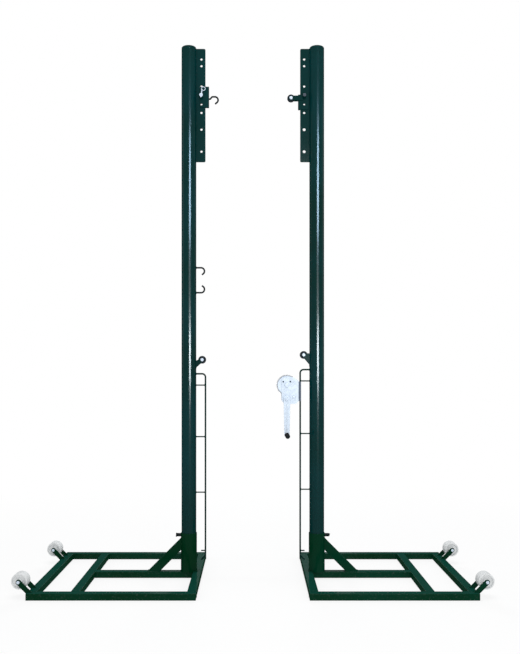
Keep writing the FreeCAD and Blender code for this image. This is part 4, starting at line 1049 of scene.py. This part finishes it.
def zinc_with_painted_tooth_shade(name, tone, tooth_shade, x, z, root):
    """Plating with painted shade on the teeth, for the shadow in the gaps between them: darker where the
    distance from the axis passes root.
    """
    finish = zinc(name, tone, 0.45)
    tree = finish.node_tree
    colour_in = tree.nodes["Principled BSDF"].inputs["Base Color"]
    spot = own_place(tree)
    for operation, by in (("SUBTRACT", (x, 0, z)), ("MULTIPLY", (1, 0, 1)), ("LENGTH", (0, 0, 0))):
        reach = tree.nodes.new("ShaderNodeVectorMath")
        reach.operation = operation
        reach.inputs[1].default_value = by
        tree.links.new(spot, reach.inputs[0])
        spot = reach.outputs[0]
    # painted shade on the ring of teeth, broken up by a cloud
    shade_patches = between(tree, noise(tree, 150, 4, 0.6), 0.3, 0.6, 0.6, 1)
    teeth = between(tree, reach.outputs["Value"], root - 0.0008, root + 0.0008)
    painted_tooth_shade = combined(tree, "MULTIPLY", teeth, shade_patches)
    colour = mix_colours(tree, painted_tooth_shade, colour_in.links[0].from_socket, tooth_shade)
    tree.links.new(colour, colour_in)
    return finish


# the second colour is the painted shade of the gaps between the teeth
gear_zinc = "bright_zinc", zinc_with_painted_tooth_shade(
    "gear_zinc", (0.60, 0.69, 0.80), (0.10, 0.12, 0.15), SPACING - DRUM_X, DRUM_Z, 0.0430)
gear = toothed(DRUM_X, DRUM_Z, 48, 0.0453, 0.04965, 0.00135, 0.00228)
bore = around_circle(DRUM_X, DRUM_Z, AXLE_BORE, 32)
add_piece("right_drum_gear_wheel", "winch_drum", gear_zinc,
          [at_post(-1, slab(gear, -0.026, -0.020, 0.0003, [bore]))], ["right_drum_gear"])
parts = bolt_set(DRUM_X, DRUM_Z, -0.030, 0.030, 0.0118, 0.006, 0.019, 0.007, 0.009)
add_piece("right_drum_axle_set", "right_post", bright_zinc,
          all_at_post(-1, parts), ["right_drum_axle"])

# The crank: shaft with a small gear, a flat arm with a pressed rib hung on it under a nut,
# and a black ribbed grip that turns on a riveted spindle at the arm's end.

add_piece("right_crank_shaft", "winch_crank", bright_zinc,
          [solid_skin("right_pinion_shaft")], ["right_pinion_shaft"], rounding=0.0003)
GRIP_Z = 0.682
arm = wrapped(np.vstack([
    around_circle(DRUM_X, PINION_Z, 0.016, 64), around_circle(DRUM_X, GRIP_Z, 0.0125, 64)]))
rib_half = 0.0052 * np.sqrt(np.clip(1 - np.linspace(-1, 1, 32) ** 14, 0.02, 1))
rib = rod([(DRUM_X, -0.0458, z) for z in np.linspace(0.702, 0.826, 32)],
          rib_half, 24, upright=(0, 1, 0), flat=0.35)
spindle = rounded([
    (0, -0.140), (0.008, -0.140, 0.0014), (0.008, -0.137, 0.0006), (0.005, -0.137, 0.0002),
    (0.005, -0.0455, 0.0002), (0, -0.0455)], closed=False)
shells = [slab(arm, -0.046, -0.041, 0.0009, [around_circle(DRUM_X, PINION_Z, 0.006, 32)]), rib]
add_piece("right_crank_lever", "winch_crank", bright_zinc,
          all_at_post(-1, shells), ["right_crank_arm"])
add_piece("right_grip_spindle", "winch_crank", black_steel,
          [at_post(-1, turned(spindle, (DRUM_X, 0, GRIP_Z), "Y", 40))])
nut = [slab(six_sided(DRUM_X, PINION_Z, 0.017), -0.054, -0.046, 0.0009),
       slab(around_circle(DRUM_X, PINION_Z, 0.0108), -0.0474, -0.046, 0.0003)]
add_piece("right_crank_nut_set", "winch_crank", bright_zinc,
          all_at_post(-1, nut), ["right_crank_nut"])


def ribbed_grip(low, high, bore, outer):
    """Grip outline: waisted by a parabola, with a round rib at every 7 mm."""
    share = np.linspace(0, 1, 121)
    y = low + 0.004 + (high - low - 0.008) * share
    waist = 0.0014 * (1 - (2 * share - 1) ** 2)
    ribs = 0.0006 * (0.5 - 0.5 * np.cos(2 * np.pi * (y - low) / 0.007)) * (np.abs(2 * share - 1) < 0.86)
    radius = outer - waist - ribs
    turn = np.linspace(0, np.pi / 2, 8)
    start = np.column_stack([outer - 0.004 + 0.004 * np.sin(turn), low + 0.004 - 0.004 * np.cos(turn)])
    end = np.column_stack([start[::-1, 0], low + high - start[::-1, 1]])
    return np.vstack([[(bore, low)], start, np.column_stack([radius, y]), end, [(bore, high), (bore, low)]])


grip_black = "black_grip", nylon("grip_black", (0.010, 0.010, 0.011), (0.03, 0.03, 0.03), 0.5, 0.4)
add_piece("right_crank_handle", "winch_grip", grip_black,
          [at_post(-1, turned(ribbed_grip(-0.1365, -0.050, 0.00505, 0.011), (DRUM_X, 0, GRIP_Z), "Y", 48))],
          ["right_crank_grip"])

# The pawl: a small plate lever on a shouldered bolt in the front side, drawn lifted clear
# of the gear.

# the pawl takes the darkened zinc: painted shade
add_piece("right_pawl_lever", "winch_pawl", shaded_zinc,
          [solid_skin("right_winch_pawl")], ["right_winch_pawl"], rounding=0.0005)
pawl_bolt = rounded([
    (0, -0.035), (0.007, -0.035, 0.0022), (0.007, -0.030, 0.0003), (0.004, -0.030, 0.0001),
    (0.004, -0.0185, 0.0005), (0, -0.0185)], closed=False)
add_piece("right_pawl_pivot", "right_post", bright_zinc,
          [at_post(-1, turned(pawl_bolt, (0.110, 0, 0.861), "Y", 32))], ["right_pawl_bolt"])
